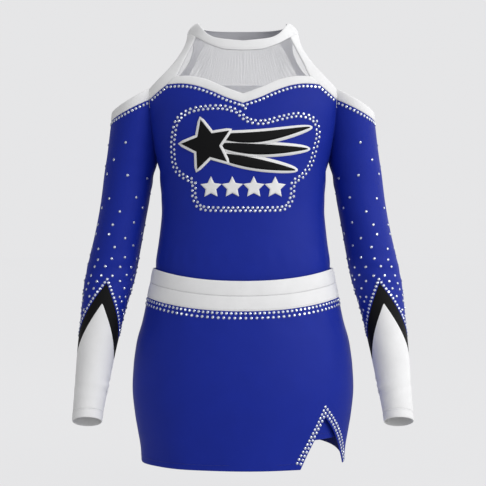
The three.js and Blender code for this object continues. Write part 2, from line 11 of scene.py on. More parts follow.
import bpy
import numpy as np
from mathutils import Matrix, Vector


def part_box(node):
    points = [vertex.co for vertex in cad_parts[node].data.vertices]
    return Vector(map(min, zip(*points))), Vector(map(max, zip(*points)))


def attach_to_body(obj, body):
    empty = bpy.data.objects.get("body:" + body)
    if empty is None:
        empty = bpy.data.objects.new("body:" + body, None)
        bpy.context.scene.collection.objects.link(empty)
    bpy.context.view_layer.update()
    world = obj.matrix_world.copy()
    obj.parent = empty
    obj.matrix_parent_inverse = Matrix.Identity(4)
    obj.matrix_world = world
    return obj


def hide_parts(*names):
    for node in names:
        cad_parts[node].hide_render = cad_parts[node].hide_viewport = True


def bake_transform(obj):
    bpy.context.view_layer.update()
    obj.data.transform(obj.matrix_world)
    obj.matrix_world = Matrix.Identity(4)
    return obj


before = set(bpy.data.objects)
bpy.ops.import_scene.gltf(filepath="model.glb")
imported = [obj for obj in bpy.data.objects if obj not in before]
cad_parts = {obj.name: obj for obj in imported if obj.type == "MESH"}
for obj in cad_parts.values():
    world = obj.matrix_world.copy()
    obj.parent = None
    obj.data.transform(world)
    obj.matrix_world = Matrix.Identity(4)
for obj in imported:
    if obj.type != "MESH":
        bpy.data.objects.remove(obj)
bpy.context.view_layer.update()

MM = 0.001


def node_box(node):
    """The low and high corners of a CAD node, in millimetres."""
    return [np.array(corner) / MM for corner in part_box(node)]


# ---- sizes that come from the frame ----
HEM = node_box("skirt_front")[0][2]
TOP_HEM = node_box("bodice_back")[0][2]
NECK_TOP = node_box("neckband")[1][2]
WAIST_TOP = node_box("waistband_upper")[1][2]
WAIST_DIP = 16
BAND_DEPTH = 20

# ---- cloth ----
CLOTH = 1.2
BAND = 1.8
PROUD = 0.5
ROLL = 0.55  # how far an edge rolls down into its seam
ROLL_REACH = 1.3  # how far from the edge the roll starts
INNER_GAP = 0.3  # between a cloth and the elastic inside it
DEGREE = math.pi / 180

# ---- the armhole and the shoulder band ----
BAND_TOP_OUT, BAND_LOW_OUT, BAND_OUT_X = 484, 472, 183
BAND_TOP_SLOPE, BAND_LOW_SLOPE = 0.53, 0.475

# ---- the neckline: where its edges turn, as (x, height) ----
YOKE_TOP, YOKE_LOW, PEAK = (65, 584), (91, 528), (103.5, 517)
BACK_TOP, BACK_LOW, BACK_PEAK = (53, 591), (85, 531), (103.5, 516)

# ---- the sleeve ----
CUFF_Z, CUFF_DEPTH, CUFF_TILT = 60.5, 11, 0.4
CHEVRON_APEX, CHEVRON_LOW = 247, 168
FOREARM_APEX, FOREARM_LOW = 220, 141

# ---- the skirt ----
NOTCH_LEFT, NOTCH_APEX, NOTCH_RIGHT, NOTCH_HEIGHT = 30, 44.5, 74, 68
BACK_LIFT = 20  # how much higher the hem is in the middle of the back
SHORTS_IN, SHORTS_TOP, SHORTS_HEM, INSEAM_HALF, CROTCH = 6, 222, 37, 13, 58

# ---- stones and thread ----
STONE = 2.1  # a stone's radius
PITCH = 5.9  # from stone to stone along a row
ZIGZAG = (3.3, 2.1)  # along and across the double row round the emblem
STITCH = (1.9, 0.22)  # half length and radius of a stitch
HEM_TURN = 8  # from a hem's edge to the stitches that hold it
ROW_BELOW = 4  # from the edge of a white band to the row of stones under it
CHEVRON_ROW = (5, 5.4)  # how far the row lies above the chevron, and its gap
WAIST_ROWS = ((3, 6.3), (9.1, 7.3))  # how far under the waistband each row lies, and its gap
SCATTER_FROM, SCATTER_TO = 176.0, 462
SCATTER_GAPS = [(176, 10.5), (250, 13), (300, 20), (350, 27), (460, 33)]  # over the height
NOTCH_ROWS = (3.5, 8.7)  # how far the two rows of stones lie from the notch's edge
SIDES = {"left": 1, "right": -1}

# ---- how tall and wide the panels are, to space the rows near their edges ----
BODICE_TALL, BODICE_WIDE = 300, 370
SLEEVE_ROUND = 215
SKIRT_TALL, SKIRT_WIDE = 220, 400
SHORTS_TALL, SHORTS_WIDE = 180, 380


def mix(a, b, share):
    return a + (b - a) * share


def profile(points):
    """A smooth curve through (at, value) points, level beyond both ends."""
    at, value = (np.array(row, float) for row in zip(*points))
    before, after = np.maximum(np.arange(len(at)) - 1, 0), np.minimum(np.arange(len(at)) + 1, len(at) - 1)
    slope = (value[after] - value[before]) / (at[after] - at[before])

    def curve(x):
        x = np.clip(x, at[0], at[-1])
        i = np.clip(np.searchsorted(at, x), 1, len(at) - 1)
        h = at[i] - at[i - 1]
        t = (x - at[i - 1]) / h
        rise = (3 - 2 * t) * t * t
        return (
            (1 - rise) * value[i - 1]
            + rise * value[i]
            + h * t * (1 - t) * ((1 - t) * slope[i - 1] - t * slope[i])
        )

    return curve


def nothing(*_):
    return 0.0


class Stack:
    """A stack of level superellipses, with folds that lift its cloth a little."""

    def __init__(self, half, front, back, squareness, centre_x=nothing, centre_y=nothing, folds=nothing):
        self.half, self.front, self.back, self.squareness = half, front, back, squareness
        self.centre_x, self.centre_y, self.folds = centre_x, centre_y, folds

    def at(self, angle, z):
        angle, z = np.broadcast_arrays(np.asarray(angle, float), np.asarray(z, float))
        s, c = np.sin(angle * DEGREE), np.cos(angle * DEGREE)
        power = 2 / self.squareness
        depth = np.where(c > 0, self.front(z), self.back(z))
        x = self.centre_x(z) + self.half(z) * np.sign(s) * np.abs(s) ** power
        y = self.centre_y(z) - depth * np.sign(c) * np.abs(c) ** power
        return np.stack([x, y, z + 0 * x], -1)

    def normal(self, angle, z):
        turn, rise = 0.4, 0.4
        across = self.at(angle + turn, z) - self.at(angle - turn, z)
        up = self.at(angle, z + rise) - self.at(angle, z - rise)
        n = np.cross(across, up)
        return n / np.linalg.norm(n, axis=-1, keepdims=True)

    def lifted(self, angle, z, offset):
        """Points of the cloth, moved out along its normal."""
        offset = np.asarray(offset, float) + self.folds(angle, z)
        return self.at(angle, z) + self.normal(angle, z) * np.broadcast_to(offset, np.shape(z))[..., None]

    def angle_at(self, x, z):
        share = np.minimum(np.abs(x) / self.half(z), 1) ** (self.squareness / 2)
        return np.sign(x) * np.arcsin(share) / DEGREE


# ---- the three stacks ----


def bell(x, middle, width):
    return np.exp(-(((x - middle) / width) ** 2))


def torso_folds(angle, z):
    """Soft drag lines: a pucker over the waistband and pulls from the armholes."""
    turned = np.abs((angle + 180) % 360 - 180)
    pucker = 0.5 * bell(z, 281, 9) * np.sin(angle * 0.42) * np.sin(angle * 0.17 + 1)
    pull = 0.7 * bell(turned, 88, 24) * bell(z, 402, 34) * np.sin((z + turned * 1.3) / 5.2)
    wave = 0.35 * np.sin(z / 31 + angle / 37) * np.cos(angle / 23 - z / 67)
    return pucker + pull + wave * (z < 480)


def skirt_folds(angle, z):
    """The skirt hangs in very shallow flutes that open towards the hem."""
    depth = np.clip((205 - z) / 205, 0, 1) ** 1.4
    flutes = np.sin(angle * 0.105 + 0.6) * np.sin(angle * 0.061 + 2.1)
    return 1.5 * depth * flutes - 0.4 * bell(z, 200, 14) * np.cos(angle * 0.3)


def arm_folds(angle, z):
    """Creases inside the elbow, round the wrist and under the arm."""
    inner, front = bell((angle + 90 + 180) % 360 - 180, 0, 55), bell(angle, 10, 60)
    elbow = 0.7 * bell(z, 262, 26) * np.sin(z / 3.6 + angle / 40) * (0.35 + 0.65 * front)
    wrist = 0.9 * bell(z, 106, 13) * np.sin(z / 2.9 - angle / 36) * (0.25 + inner)
    under = 0.6 * bell(z, 396, 24) * np.sin(z / 4.4 + angle / 30) * inner
    return elbow + wrist + under + 0.3 * np.sin(z / 23 + angle / 31)


torso = Stack(
    half=profile([
        (195, 120.5), (267, 121.8), (279, 121.6), (300, 118.3), (323, 115.5), (345, 113.6),
        (370, 114.4), (401, 116.3), (418, 120), (440, 126), (470, 134), (500, 142), (520, 145),
        (532, 141), (545, 128), (556, 113), (567, 100), (580, 87), (590, 79.5), (598, 75),
        (604, 69.5), (608, 62),
    ]),
    front=profile([
        (195, 79), (267, 80), (345, 77), (400, 80), (440, 82), (480, 80), (510, 74), (530, 68),
        (550, 62), (575, 55), (595, 51), (608, 48),
    ]),
    back=profile([
        (195, 80), (267, 79), (345, 73), (400, 76), (440, 78), (480, 77), (510, 73), (530, 69),
        (550, 65), (575, 60), (595, 56), (608, 53),
    ]),
    squareness=2.25,
    folds=torso_folds,
)

skirt = Stack(
    half=profile([
        (0, 141.5), (20, 142.8), (45, 147.2), (65, 150.6), (98, 154), (132, 152.6), (155, 149.8),
        (170, 147), (188, 141.8), (200, 138.9), (211, 136.6), (228, 133.4), (247, 129.3),
        (268, 125.4),
    ]),
    front=profile([(0, 101), (98, 104), (170, 98), (228, 89), (250, 85.5), (268, 83.8)]),
    back=profile([(0, 104), (98, 110), (170, 104), (228, 90), (268, 82.8)]),
    squareness=2.25,
    folds=skirt_folds,
)

arm_outer = profile([
    (50, 231), (74, 230.5), (112, 229), (145, 228.3), (169, 227.5), (222, 224), (244, 221.8),
    (267, 218), (311, 208.6), (356, 200.3), (401, 194), (424, 190.4), (457, 186.5), (484, 183.4),
    (515, 181),
])
arm_inner = profile([
    (50, 191), (74, 188.8), (112, 182.7), (145, 177), (169, 172), (200, 165), (222, 159.4),
    (244, 153.4), (267, 148.6), (311, 140.6), (356, 132.2), (379, 128.6), (401, 124.6),
    (418, 120.3), (457, 115), (484, 112), (515, 109),
])
arm_depth = profile([
    (50, 21.6), (112, 25), (169, 31), (222, 36), (267, 38), (356, 38), (430, 41), (484, 44),
    (515, 44),
])
arm = Stack(
    half=lambda z: (arm_outer(z) - arm_inner(z)) / 2,
    front=arm_depth,
    back=arm_depth,
    squareness=2,
    centre_x=lambda z: (arm_outer(z) + arm_inner(z)) / 2,
    centre_y=profile([
        (50, -66), (112, -42), (169, -22), (222, -7), (267, 3), (356, 8), (430, 6), (515, 0),
    ]),
    folds=arm_folds,
)


def bisect(low, high, test):
    """Where a rising test turns positive between low and high, for whole arrays."""
    low, high = np.array(low, float), np.array(high, float)
    for _ in range(30):
        middle = (low + high) / 2
        over = test(middle) > 0
        high, low = np.where(over, middle, high), np.where(over, low, middle)
    return (low + high) / 2


ARMPIT = float(bisect(400, 440, lambda z: torso.half(z) - arm_inner(z)))
UNDERARM = -85  # where the underarm seam runs down the sleeve
FIRST_MEETING = 1.3  # how far above the armpit the two stacks cross cleanly


def armhole_table(behind):
    """Heights from the armpit up, with the angles on the torso and on the arm where they meet."""
    start = ARMPIT + FIRST_MEETING
    z = start + (530 - start) * np.linspace(0, 1, 400) ** 2
    turned = (lambda a: 180 - a) if behind else (lambda a: a)

    def from_arm_axis(a):
        p = torso.at(turned(a), z)
        return (p[:, 0] - arm.centre_x(z)) / arm.half(z), (p[:, 1] - arm.centre_y(z)) / arm_depth(z)

    lowest, highest = np.full(z.shape, 20.0), np.full(z.shape, 90.0)
    angle = bisect(lowest, highest, lambda a: 1 - np.hypot(*from_arm_axis(a)))
    x, y = from_arm_axis(angle)
    side = np.arctan2(x, -y) / DEGREE + (360 if behind else 0)
    seam = UNDERARM + (360 if behind else 0)
    return np.append(ARMPIT, z), np.append(90, turned(angle)), np.append(seam, side)


ARMHOLES = {behind: armhole_table(behind) for behind in (False, True)}


def armhole(z, behind):
    """The angles on the torso and on the arm at which the two stacks meet; level below the armpit."""
    heights, on_torso, on_arm = ARMHOLES[behind]
    return np.interp(z, heights, on_torso), np.interp(z, heights, on_arm)


def band_top(x):
    return BAND_TOP_OUT + BAND_TOP_SLOPE * (BAND_OUT_X - x)


def band_low(x):
    return BAND_LOW_OUT + BAND_LOW_SLOPE * (BAND_OUT_X - x)


def seam_x(z, behind=False):
    return torso.at(armhole(z, behind)[0], z)[..., 0]


def seam_end(edge):
    return float(bisect(ARMPIT + 20, 530, lambda z: z - edge(seam_x(z))))


SEAM_TOP, SEAM_LOW = seam_end(band_top), seam_end(band_low)

# ---- the neckline's edges ----
sweet_low = profile([(0, 489.2), (22, 496.8), (43, 506.4), (63, 513.7), (82, 517.2), PEAK])
sweet_top = profile([(0, 502), (29, 513), (51, 523), (74, 527.6), YOKE_LOW])
neck_front = profile([(0, 576.5), (23, 581.5), (35, 588), (48, 598), (62, 604.5), (90, NECK_TOP)])
neck_front_low = profile([(0, 563), (12, 564.8), (23, 570.5), (49, YOKE_TOP[1]), (90, 594)])
neck_back = profile([(0, 606.3), (60, 606.6), (90, NECK_TOP)])
neck_back_low = profile([(0, 592), (50, BACK_TOP[1]), (90, 594)])


def neck_edge(front, back, angle):
    turned = np.abs((angle + 180) % 360 - 180)
    return np.where(turned <= 90, front(turned), back(180 - turned))


def bodice_edge(x, behind):
    """The height of the bodice's top edge at a distance x from the middle."""
    peak = BACK_PEAK[1] if behind else PEAK[1]
    share = (x - PEAK[0]) / (float(seam_x(SEAM_LOW, behind)) - PEAK[0])
    middle = BACK_PEAK[1] if behind else sweet_low(x)
    return np.where(x > PEAK[0], mix(peak, SEAM_LOW, share), middle)


# ---- the sleeve's and the skirt's edges ----


def fold(angle):
    """0 in front and behind, 1 at the sides."""
    return np.abs((angle + 90) % 180 - 90) / 90


def chevron_drop(angle):
    return 1 - (1 - fold(angle)) ** 1.15


def chevron_top(angle, z=None):
    return mix(CHEVRON_APEX, CHEVRON_LOW, chevron_drop(angle))


def forearm_top(angle, z=None):
    return mix(FOREARM_APEX, FOREARM_LOW, chevron_drop(angle))


def square_cut(middle):
    """The plane across the forearm at a height along its middle, as an edge."""
    return lambda angle, z=None: middle + CUFF_TILT * arm_depth(middle) * np.cos(angle * DEGREE)


def over_band(edge, by=0.0):
    return lambda angle, z: edge(arm.at(angle, z)[..., 0]) + by


def shifted(edge, by):
    return lambda angle, z: edge(angle, z) + by


def waist_drop(angle):
    return WAIST_DIP * np.maximum(np.cos(angle * DEGREE), 0) ** 2


def back_hem_at(angle):
    """The hem behind, which rises from the side seams to the middle of the back."""
    return HEM + BACK_LIFT * (1 - (np.abs(angle) / 90) ** 2.5)


def hem_at(angle):
    """The hem in front, which climbs to the notch's apex on the wearer's left."""
    left = NOTCH_HEIGHT * (angle - NOTCH_LEFT) / (NOTCH_APEX - NOTCH_LEFT)
    down = np.clip((angle - NOTCH_APEX) / (NOTCH_RIGHT - NOTCH_APEX), 0, 1)
    right = NOTCH_HEIGHT * (1 - mix(down**4, down, 0.9))
    notch = np.where(angle <= NOTCH_APEX, left, right)
    return np.where((angle <= NOTCH_LEFT) | (angle >= NOTCH_RIGHT), HEM, notch)


# ---- materials ----


def socket(tree, side, kind, name, value=None):
    made = tree.interface.new_socket(name=name, in_out=side, socket_type=kind)
    if value is not None:
        made.default_value = value


class Nodes:
    """Shorthand for building a node tree."""

    def __init__(self, tree):
        self.tree = tree

    def new(self, kind, **values):
        node = self.tree.nodes.new(kind)
        for name, value in values.items():
            setattr(node, name, value)
        return node

    def math(self, operation, a, b=None, c=None, clamp=False):
        node = self.new("ShaderNodeMath", operation=operation, use_clamp=clamp)
        for place, value in zip(node.inputs, (a, b, c)):
            self.feed(value, place)
        return node.outputs[0]

    def feed(self, value, place):
        if isinstance(value, bpy.types.NodeSocket):
            self.tree.links.new(value, place)
        elif value is not None:
            place.default_value = value


def knit_group():
    """Fine vertical ribs of looped stitches, from the cloth's own lengthwise and crosswise metres."""
    tree = bpy.data.node_groups.new("knit", "ShaderNodeTree")
    socket(tree, "INPUT", "NodeSocketFloat", "Rib", 0.0009)
    socket(tree, "OUTPUT", "NodeSocketFloat", "Height")
    socket(tree, "OUTPUT", "NodeSocketFloat", "Shade")
    n = Nodes(tree)
    inside, outside = n.new("NodeGroupInput"), n.new("NodeGroupOutput")
    cloth = n.new("ShaderNodeUVMap", uv_map="cloth")
    parts = n.new("ShaderNodeSeparateXYZ")
    tree.links.new(cloth.outputs[0], parts.inputs[0])
    turn = n.math("DIVIDE", 2 * math.pi, inside.outputs["Rib"])
    across = n.math("MULTIPLY", parts.outputs[0], turn)
    rib = n.math("COSINE", across)
    lean = n.math("MULTIPLY", n.math("ABSOLUTE", n.math("SINE", n.math("MULTIPLY", across, 0.5))), 2.0)
    along = n.math("MULTIPLY", n.math("MULTIPLY", parts.outputs[1], turn), 1.3)
    loop = n.math("SINE", n.math("ADD", along, lean))
    height = n.math("MULTIPLY_ADD", rib, 0.3, n.math("MULTIPLY_ADD", loop, 0.2, 0.5))
    tree.links.new(height, outside.inputs["Height"])
    soft = n.new("ShaderNodeTexNoise")
    soft.inputs["Scale"].default_value = 38
    soft.inputs["Detail"].default_value = 5
    place = n.new("ShaderNodeTexCoord")
    tree.links.new(place.outputs["Object"], soft.inputs["Vector"])
    # Darker where the rib height is low: painted shade in the grooves, over a random tone from the noise.
    shade = n.math("MULTIPLY_ADD", soft.outputs["Fac"], 0.16, n.math("MULTIPLY_ADD", height, 0.1, 0.87))
    tree.links.new(shade, outside.inputs["Shade"])
    return tree


def net_group():
    """A fine diamond net: 1 on the threads and 0 in the holes."""
    tree = bpy.data.node_groups.new("net", "ShaderNodeTree")
    socket(tree, "INPUT", "NodeSocketFloat", "Pitch", 0.0011)
    socket(tree, "INPUT", "NodeSocketFloat", "Thread", 0.3)
    socket(tree, "OUTPUT", "NodeSocketFloat", "Cover")
    n = Nodes(tree)
    inside, outside = n.new("NodeGroupInput"), n.new("NodeGroupOutput")
    cloth = n.new("ShaderNodeUVMap", uv_map="cloth")
    parts = n.new("ShaderNodeSeparateXYZ")
    tree.links.new(cloth.outputs[0], parts.inputs[0])
    turn = n.math("DIVIDE", math.pi, inside.outputs["Pitch"])
    lines = []
    for sign in (1, -1):
        lean = n.math("MULTIPLY_ADD", parts.outputs[1], 0.6 * sign, parts.outputs[0])
        lines.append(n.math("ABSOLUTE", n.math("SINE", n.math("MULTIPLY", lean, turn))))
    nearest = n.math("MINIMUM", lines[0], lines[1])
    cover = n.math("SUBTRACT", 1.0, n.math("DIVIDE", nearest, inside.outputs["Thread"]), clamp=True)
    soft = n.math("POWER", cover, 0.6)
    tree.links.new(soft, outside.inputs["Cover"])
    return tree


def principled(name, base, rough, **values):
    """A material with its Principled BSDF, and a Nodes helper for its tree."""
    material = bpy.data.materials.new(name)
    material.use_nodes = True
    n = Nodes(material.node_tree)
    shader = material.node_tree.nodes["Principled BSDF"]
    shader.inputs["Base Color"].default_value = (*base, 1)
    shader.inputs["Roughness"].default_value = rough
    for key, value in values.items():
        shader.inputs[key.replace("_", " ")].default_value = value
    return material, n, shader


def bump(n, shader, height, strength, distance):
    node = n.new("ShaderNodeBump")
    node.inputs["Strength"].default_value = strength
    node.inputs["Distance"].default_value = distance
    n.feed(height, node.inputs["Height"])
    n.feed(node.outputs[0], shader.inputs["Normal"])


def knit_cloth(name, base, rough, sheen, depth, rib=0.0009):
    """Stretch knit: ribs in the bump, and a colour that is a little darker in the rib grooves as painted
    shade, under a random tone.
    """
    material, n, shader = principled(name, base, rough, Sheen_Weight=sheen, Sheen_Roughness=0.4)
    shader.inputs["Specular IOR Level"].default_value = 0.14
    shader.inputs["Sheen Tint"].default_value = (*(0.25 + 0.75 * np.array(base) / max(base)), 1)
    knit = n.new("ShaderNodeGroup", node_tree=KNIT)
    knit.inputs["Rib"].default_value = rib
    tint = n.new("ShaderNodeMix", data_type="RGBA", blend_type="MULTIPLY")
    tint.inputs[0].default_value = 1
    tint.inputs[6].default_value = (*base, 1)
    n.feed(knit.outputs["Shade"], tint.inputs[7])
    n.feed(tint.outputs[2], shader.inputs["Base Color"])
    bump(n, shader, knit.outputs["Height"], depth, 0.0003)
    return material


def net_cloth():
    material, n, shader = principled("net", (0.66, 0.66, 0.68), 0.8)
    net = n.new("ShaderNodeGroup", node_tree=NET)
    n.feed(net.outputs["Cover"], shader.inputs["Alpha"])
    return material


def elastic_cloth():
    """Woven elastic, with ribs along it that stand up more than a knit's."""
    return knit_cloth("elastic", (0.68, 0.68, 0.66), 0.8, 0.1, 0.9, rib=0.0024)


def thread(name, base):
    """Twisted thread, with its twist in the bump."""
    material, n, shader = principled(name, base, 0.65, Sheen_Weight=0.2)
    twist = n.new("ShaderNodeTexWave", wave_type="BANDS", bands_direction="DIAGONAL")
    twist.inputs["Scale"].default_value = 900
    place = n.new("ShaderNodeTexCoord")
    n.feed(place.outputs["Object"], twist.inputs["Vector"])
    bump(n, shader, twist.outputs["Fac"], 0.4, 0.0001)
    return material


def stone_facet(name, base, rough):
    """Foil-backed cut glass: a mirror-like facet under a clear coat, with tiny handling marks."""
    material, n, shader = principled(name, base, rough, Metallic=0.85, Coat_Weight=0.6, Coat_Roughness=0.03)
    marks = n.new("ShaderNodeTexNoise")
    marks.inputs["Scale"].default_value = 1400
    place = n.new("ShaderNodeTexCoord")
    n.feed(place.outputs["Object"], marks.inputs["Vector"])
    n.feed(n.math("MULTIPLY_ADD", marks.outputs["Fac"], 0.12, rough), shader.inputs["Roughness"])
    return material


KNIT, NET = knit_group(), net_group()
ROYAL = knit_cloth("royal_knit", (0.008, 0.023, 0.31), 0.5, 0.03, 0.35)
WHITE = knit_cloth("white_knit", (0.87, 0.87, 0.87), 0.6, 0.05, 0.35)
BLACK = knit_cloth("black_knit", (0.004, 0.004, 0.0045), 0.6, 0.02, 0.35)
NAVY = knit_cloth("lining_knit", (0.012, 0.018, 0.16), 0.7, 0.1, 0.35)
SHEER = net_cloth()
ELASTIC = elastic_cloth()
FINISHES = {
    "royal_fabric": ROYAL,
    "white_fabric": WHITE,
    "black_fabric": BLACK,
    "net_fabric": SHEER,
    "elastic": ELASTIC,
}
# Painted shade: the inside of the neckband gets a mid grey in place of the white knit, for the shaded inside
# of the collar.
COLLAR_INSIDE_PAINTED_SHADE = knit_cloth("collar_lining_knit", (0.5, 0.5, 0.52), 0.7, 0.02, 0.35)
# The grey thread is laid along seams as a painted seam shadow.
THREADS = {
    "navy": thread("navy_thread", (0.007, 0.014, 0.16)),
    "white": thread("white_thread", (0.74, 0.74, 0.75)),
    "grey": thread("grey_thread", (0.3, 0.3, 0.31)),
}
# Two copies of the stone finish: the grey copy paints dark reflections on the foot, the girdle and alternate
# crown facets.
FACETS = [
    stone_facet("stone_bright", (0.78, 0.83, 0.95), 0.14),
    stone_facet("stone_grey", (0.33, 0.36, 0.46), 0.2),
]

# ---- building meshes ----


def make_piece(name, points, faces, materials, uv=None, smooth=True, face_materials=None):
    """A mesh object from points in millimetres."""
    mesh = bpy.data.meshes.new(name)
    mesh.from_pydata((np.asarray(points) * MM).tolist(), [], faces)
    for material in materials:
        mesh.materials.append(material)
    if uv is not None:
        loops = np.zeros(len(mesh.loops), np.int32)
        mesh.loops.foreach_get("vertex_index", loops)
        layer = mesh.uv_layers.new(name="cloth")
        layer.data.foreach_set("uv", (np.asarray(uv)[loops] * MM).astype(np.float32).ravel())
    if face_materials is not None:
        mesh.polygons.foreach_set("material_index", np.asarray(face_materials, np.int32))
    mesh.polygons.foreach_set("use_smooth", [smooth] * len(mesh.polygons))
    mesh.update()
    piece = bpy.data.objects.new(name, mesh)
    bpy.context.collection.objects.link(piece)
    return piece


def edged(count, length):
    """Even shares of a length, with closer ones where the cloth rolls into its seam."""
    near = np.array([0, 0.5, ROLL_REACH]) / length
    inner = np.linspace(2 * ROLL_REACH / length, 1 - 2 * ROLL_REACH / length, count)
    return np.concatenate([near, inner, 1 - near[::-1]])


def edge_roll(shares, length):
    """How far each share's row lies under the cloth's face."""
    from_edge = np.minimum(shares, 1 - shares) * length
    return ROLL * np.clip(1 - from_edge / ROLL_REACH, 0, 1) ** 2


def shell_faces(rows, wide, closed=False):
    """The faces of a grid of points in two layers: front, back and the rims between them."""
    layer, reach = rows * wide, wide if closed else wide - 1
    found = []
    for row in range(rows - 1):
        for i in range(reach):
            a, b = row * wide + i, row * wide + (i + 1) % wide
            c, d = b + wide, a + wide
            found += [(a, b, c, d), (layer + a, layer + d, layer + c, layer + b)]
    along = [(i, (i + 1) % wide) for i in range(reach)]
    last = (rows - 1) * wide
    rims = along + [(last + b, last + a) for a, b in along]
    if not closed:
        for row in range(rows - 1):
            first, end = row * wide, (row + 1) * wide - 1
            rims += [(first + wide, first), (end, end + wide)]
    return found + [(a, layer + a, layer + b, b) for a, b in rims]


class Cloth:
    """A closed sheet over a grid of places, rolled down along its sewn edges."""

    def __init__(self, name, surface, angle, z, roll, outer=0.0, inner=-CLOTH, closed=False, mirror=False):
        self.name, self.closed = name, closed
        self.rows, self.columns = angle.shape
        face = surface.lifted(angle, z, np.broadcast_to(outer, angle.shape) - roll)
        back = surface.lifted(angle, z, np.broadcast_to(inner, angle.shape))
        self.face = face
        self.points = np.concatenate([face.reshape(-1, 3), back.reshape(-1, 3)])
        self.mirror = mirror
        if mirror:
            self.points[:, 0] *= -1
        if closed:
            face = np.concatenate([face, face[:, :1]], 1)
        self.widths = np.linalg.norm(np.diff(face, axis=1), axis=-1).sum(1)
        self.heights = np.linalg.norm(np.diff(face, axis=0), axis=-1)
        self.area = self.measure(face)

    @staticmethod
    def measure(face):
        across, up = np.diff(face, axis=1)[:-1], np.diff(face, axis=0)[:, :-1]
        return float(np.linalg.norm(np.cross(across, up), axis=-1).sum())

    def faces(self):
        found = shell_faces(self.rows, self.columns, self.closed)
        return [f[::-1] for f in found] if self.mirror else found

    def uv(self):
        steps = np.linalg.norm(np.diff(self.face, axis=1), axis=-1).mean(0)
        u = np.concatenate([[0], np.cumsum(steps)])
        rise = np.concatenate([np.zeros((1, self.columns)), np.cumsum(self.heights[:, : self.columns], 0)])
        flat = np.stack([np.broadcast_to(u, rise.shape), rise], -1).reshape(-1, 2)
        return np.concatenate([flat, flat])

    def piece(self, slot, body, replaces, held="stretched", lining=None):
        materials = [FINISHES[slot], lining or FINISHES[slot]]
        made = make_piece(self.name, self.points, self.faces(), materials, self.uv())
        # The second finish goes on the inner faces: a navy lining on the skirt, and painted shade inside the
        # neckband.
        if lining:
            lining_and_shade_faces = np.zeros(len(made.data.polygons), np.int32)
            reach = self.columns if self.closed else self.columns - 1
            lining_and_shade_faces[1 : 2 * (self.rows - 1) * reach : 2] = 1
            made.data.polygons.foreach_set("material_index", lining_and_shade_faces)
        dress(made, body, slot, replaces)
        return made


def attach(piece, body):
    """Rides on a body; a sleeve's cloth only has its transform baked in."""
    if body not in ("left_sleeve", "right_sleeve"):
        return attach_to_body(piece, body)
    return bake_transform(piece)


def dress(piece, body, slot, replaces=()):
    """Goes to attach for its body and stands for its CAD nodes; the slot is not used."""
    attach(piece, body)
    if replaces:
        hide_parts(*replaces)
    return piece


def settled(edge, angle_of, start):
    """The height at which each column meets an edge that depends on where the column is."""
    z = start
    for _ in range(25):
        z = mix(z, edge(angle_of(z), z), 0.7)
    return z


# ---- stones, stitches and other small things that repeat ----


def spread(template, faces, places, normals, ups, scales):
    """Copies of a template at places, each turned to its normal; gives points and faces."""
    normals = normals / np.linalg.norm(normals, axis=1, keepdims=True)
    ups = ups - (ups * normals).sum(1, keepdims=True) * normals
    ups = ups / np.linalg.norm(ups, axis=1, keepdims=True)
    sides = np.cross(ups, normals)
    turned = (
        template[None, :, 0:1] * sides[:, None]
        + template[None, :, 1:2] * ups[:, None]
        + template[None, :, 2:3] * normals[:, None]
    )
    points = (places[:, None] + turned * np.asarray(scales).reshape(-1, 1, 1)).reshape(-1, 3)
    count = len(template)
    return points, [tuple(i + k * count for i in f) for k in range(len(places)) for f in faces]


def stone_template():
    """A flat-backed round stone: a foot, a girdle, a crown of eight kites and a table."""
    rings = [(0.98, 0.0), (1.0, 0.14), (0.78, 0.36), (0.46, 0.5)]
    points = []
    for k, (radius, height) in enumerate(rings):
        turn = math.pi / 8 if k == 2 else 0
        for i in range(8):
            a = i * math.pi / 4 + turn
            points.append((radius * math.cos(a), radius * math.sin(a), height))
    # Faces marked 1 take the grey finish, painted dark reflections; faces marked 0 take the bright one.
    faces, painted_dark_faces = [tuple(range(7, -1, -1))], [1]
    for i in range(8):
        j = (i + 1) % 8
        faces += [(i, j, 8 + j, 8 + i)]
        painted_dark_faces += [1]
        faces += [(8 + i, 8 + j, 16 + i), (8 + j, 16 + j, 16 + i)]
        faces += [(16 + i, 16 + j, 24 + j), (24 + i, 16 + i, 24 + j)]
        painted_dark_faces += [0, i % 2, (i + 1) % 2, 0]
    faces.append(tuple(range(24, 32)))
    painted_dark_faces.append(0)
    return np.array(points), faces, painted_dark_faces


STONE_POINTS, STONE_FACES, STONE_PAINTED_DARK = stone_template()


def stones(name, places, normals, radius, body, replaces=(), seed=3):
    """Real stones, each with its own small turn, joined into one piece."""
    draw = random.Random(seed)
    ups = np.array([(draw.uniform(-1, 1), draw.uniform(-1, 1), draw.uniform(-1, 1)) for _ in places])
    scales = [radius * draw.uniform(0.96, 1.04) for _ in places]
    points, faces = spread(STONE_POINTS, STONE_FACES, places, normals, ups, scales)
    made = make_piece(name, points, faces, FACETS, None, False, STONE_PAINTED_DARK * len(places))
    return dress(made, body, "stones", replaces)


def even(surface, angle, z, gap, offset, closed=False, start=0.5):
    """Places and normals at an even gap along a line on the cloth."""
    line = surface.lifted(angle, z, offset)
    if closed:
        line, angle, z = (np.concatenate([v, v[:1]]) for v in (line, angle, z))
        angle = np.where(np.arange(len(angle)) == len(angle) - 1, angle + 360 * (angle[-2] > 180), angle)
    length = np.concatenate([[0], np.cumsum(np.linalg.norm(np.diff(line, axis=0), axis=1))])
    count = max(int(round(length[-1] / gap)), 1)
    along = (np.arange(count) + start) * length[-1] / count
    at, up = np.interp(along, length, angle), np.interp(along, length, z)
    return surface.lifted(at, up, offset), surface.normal(at, up)


def mirror_points(places, side):
    return places * np.array([side, 1, 1])


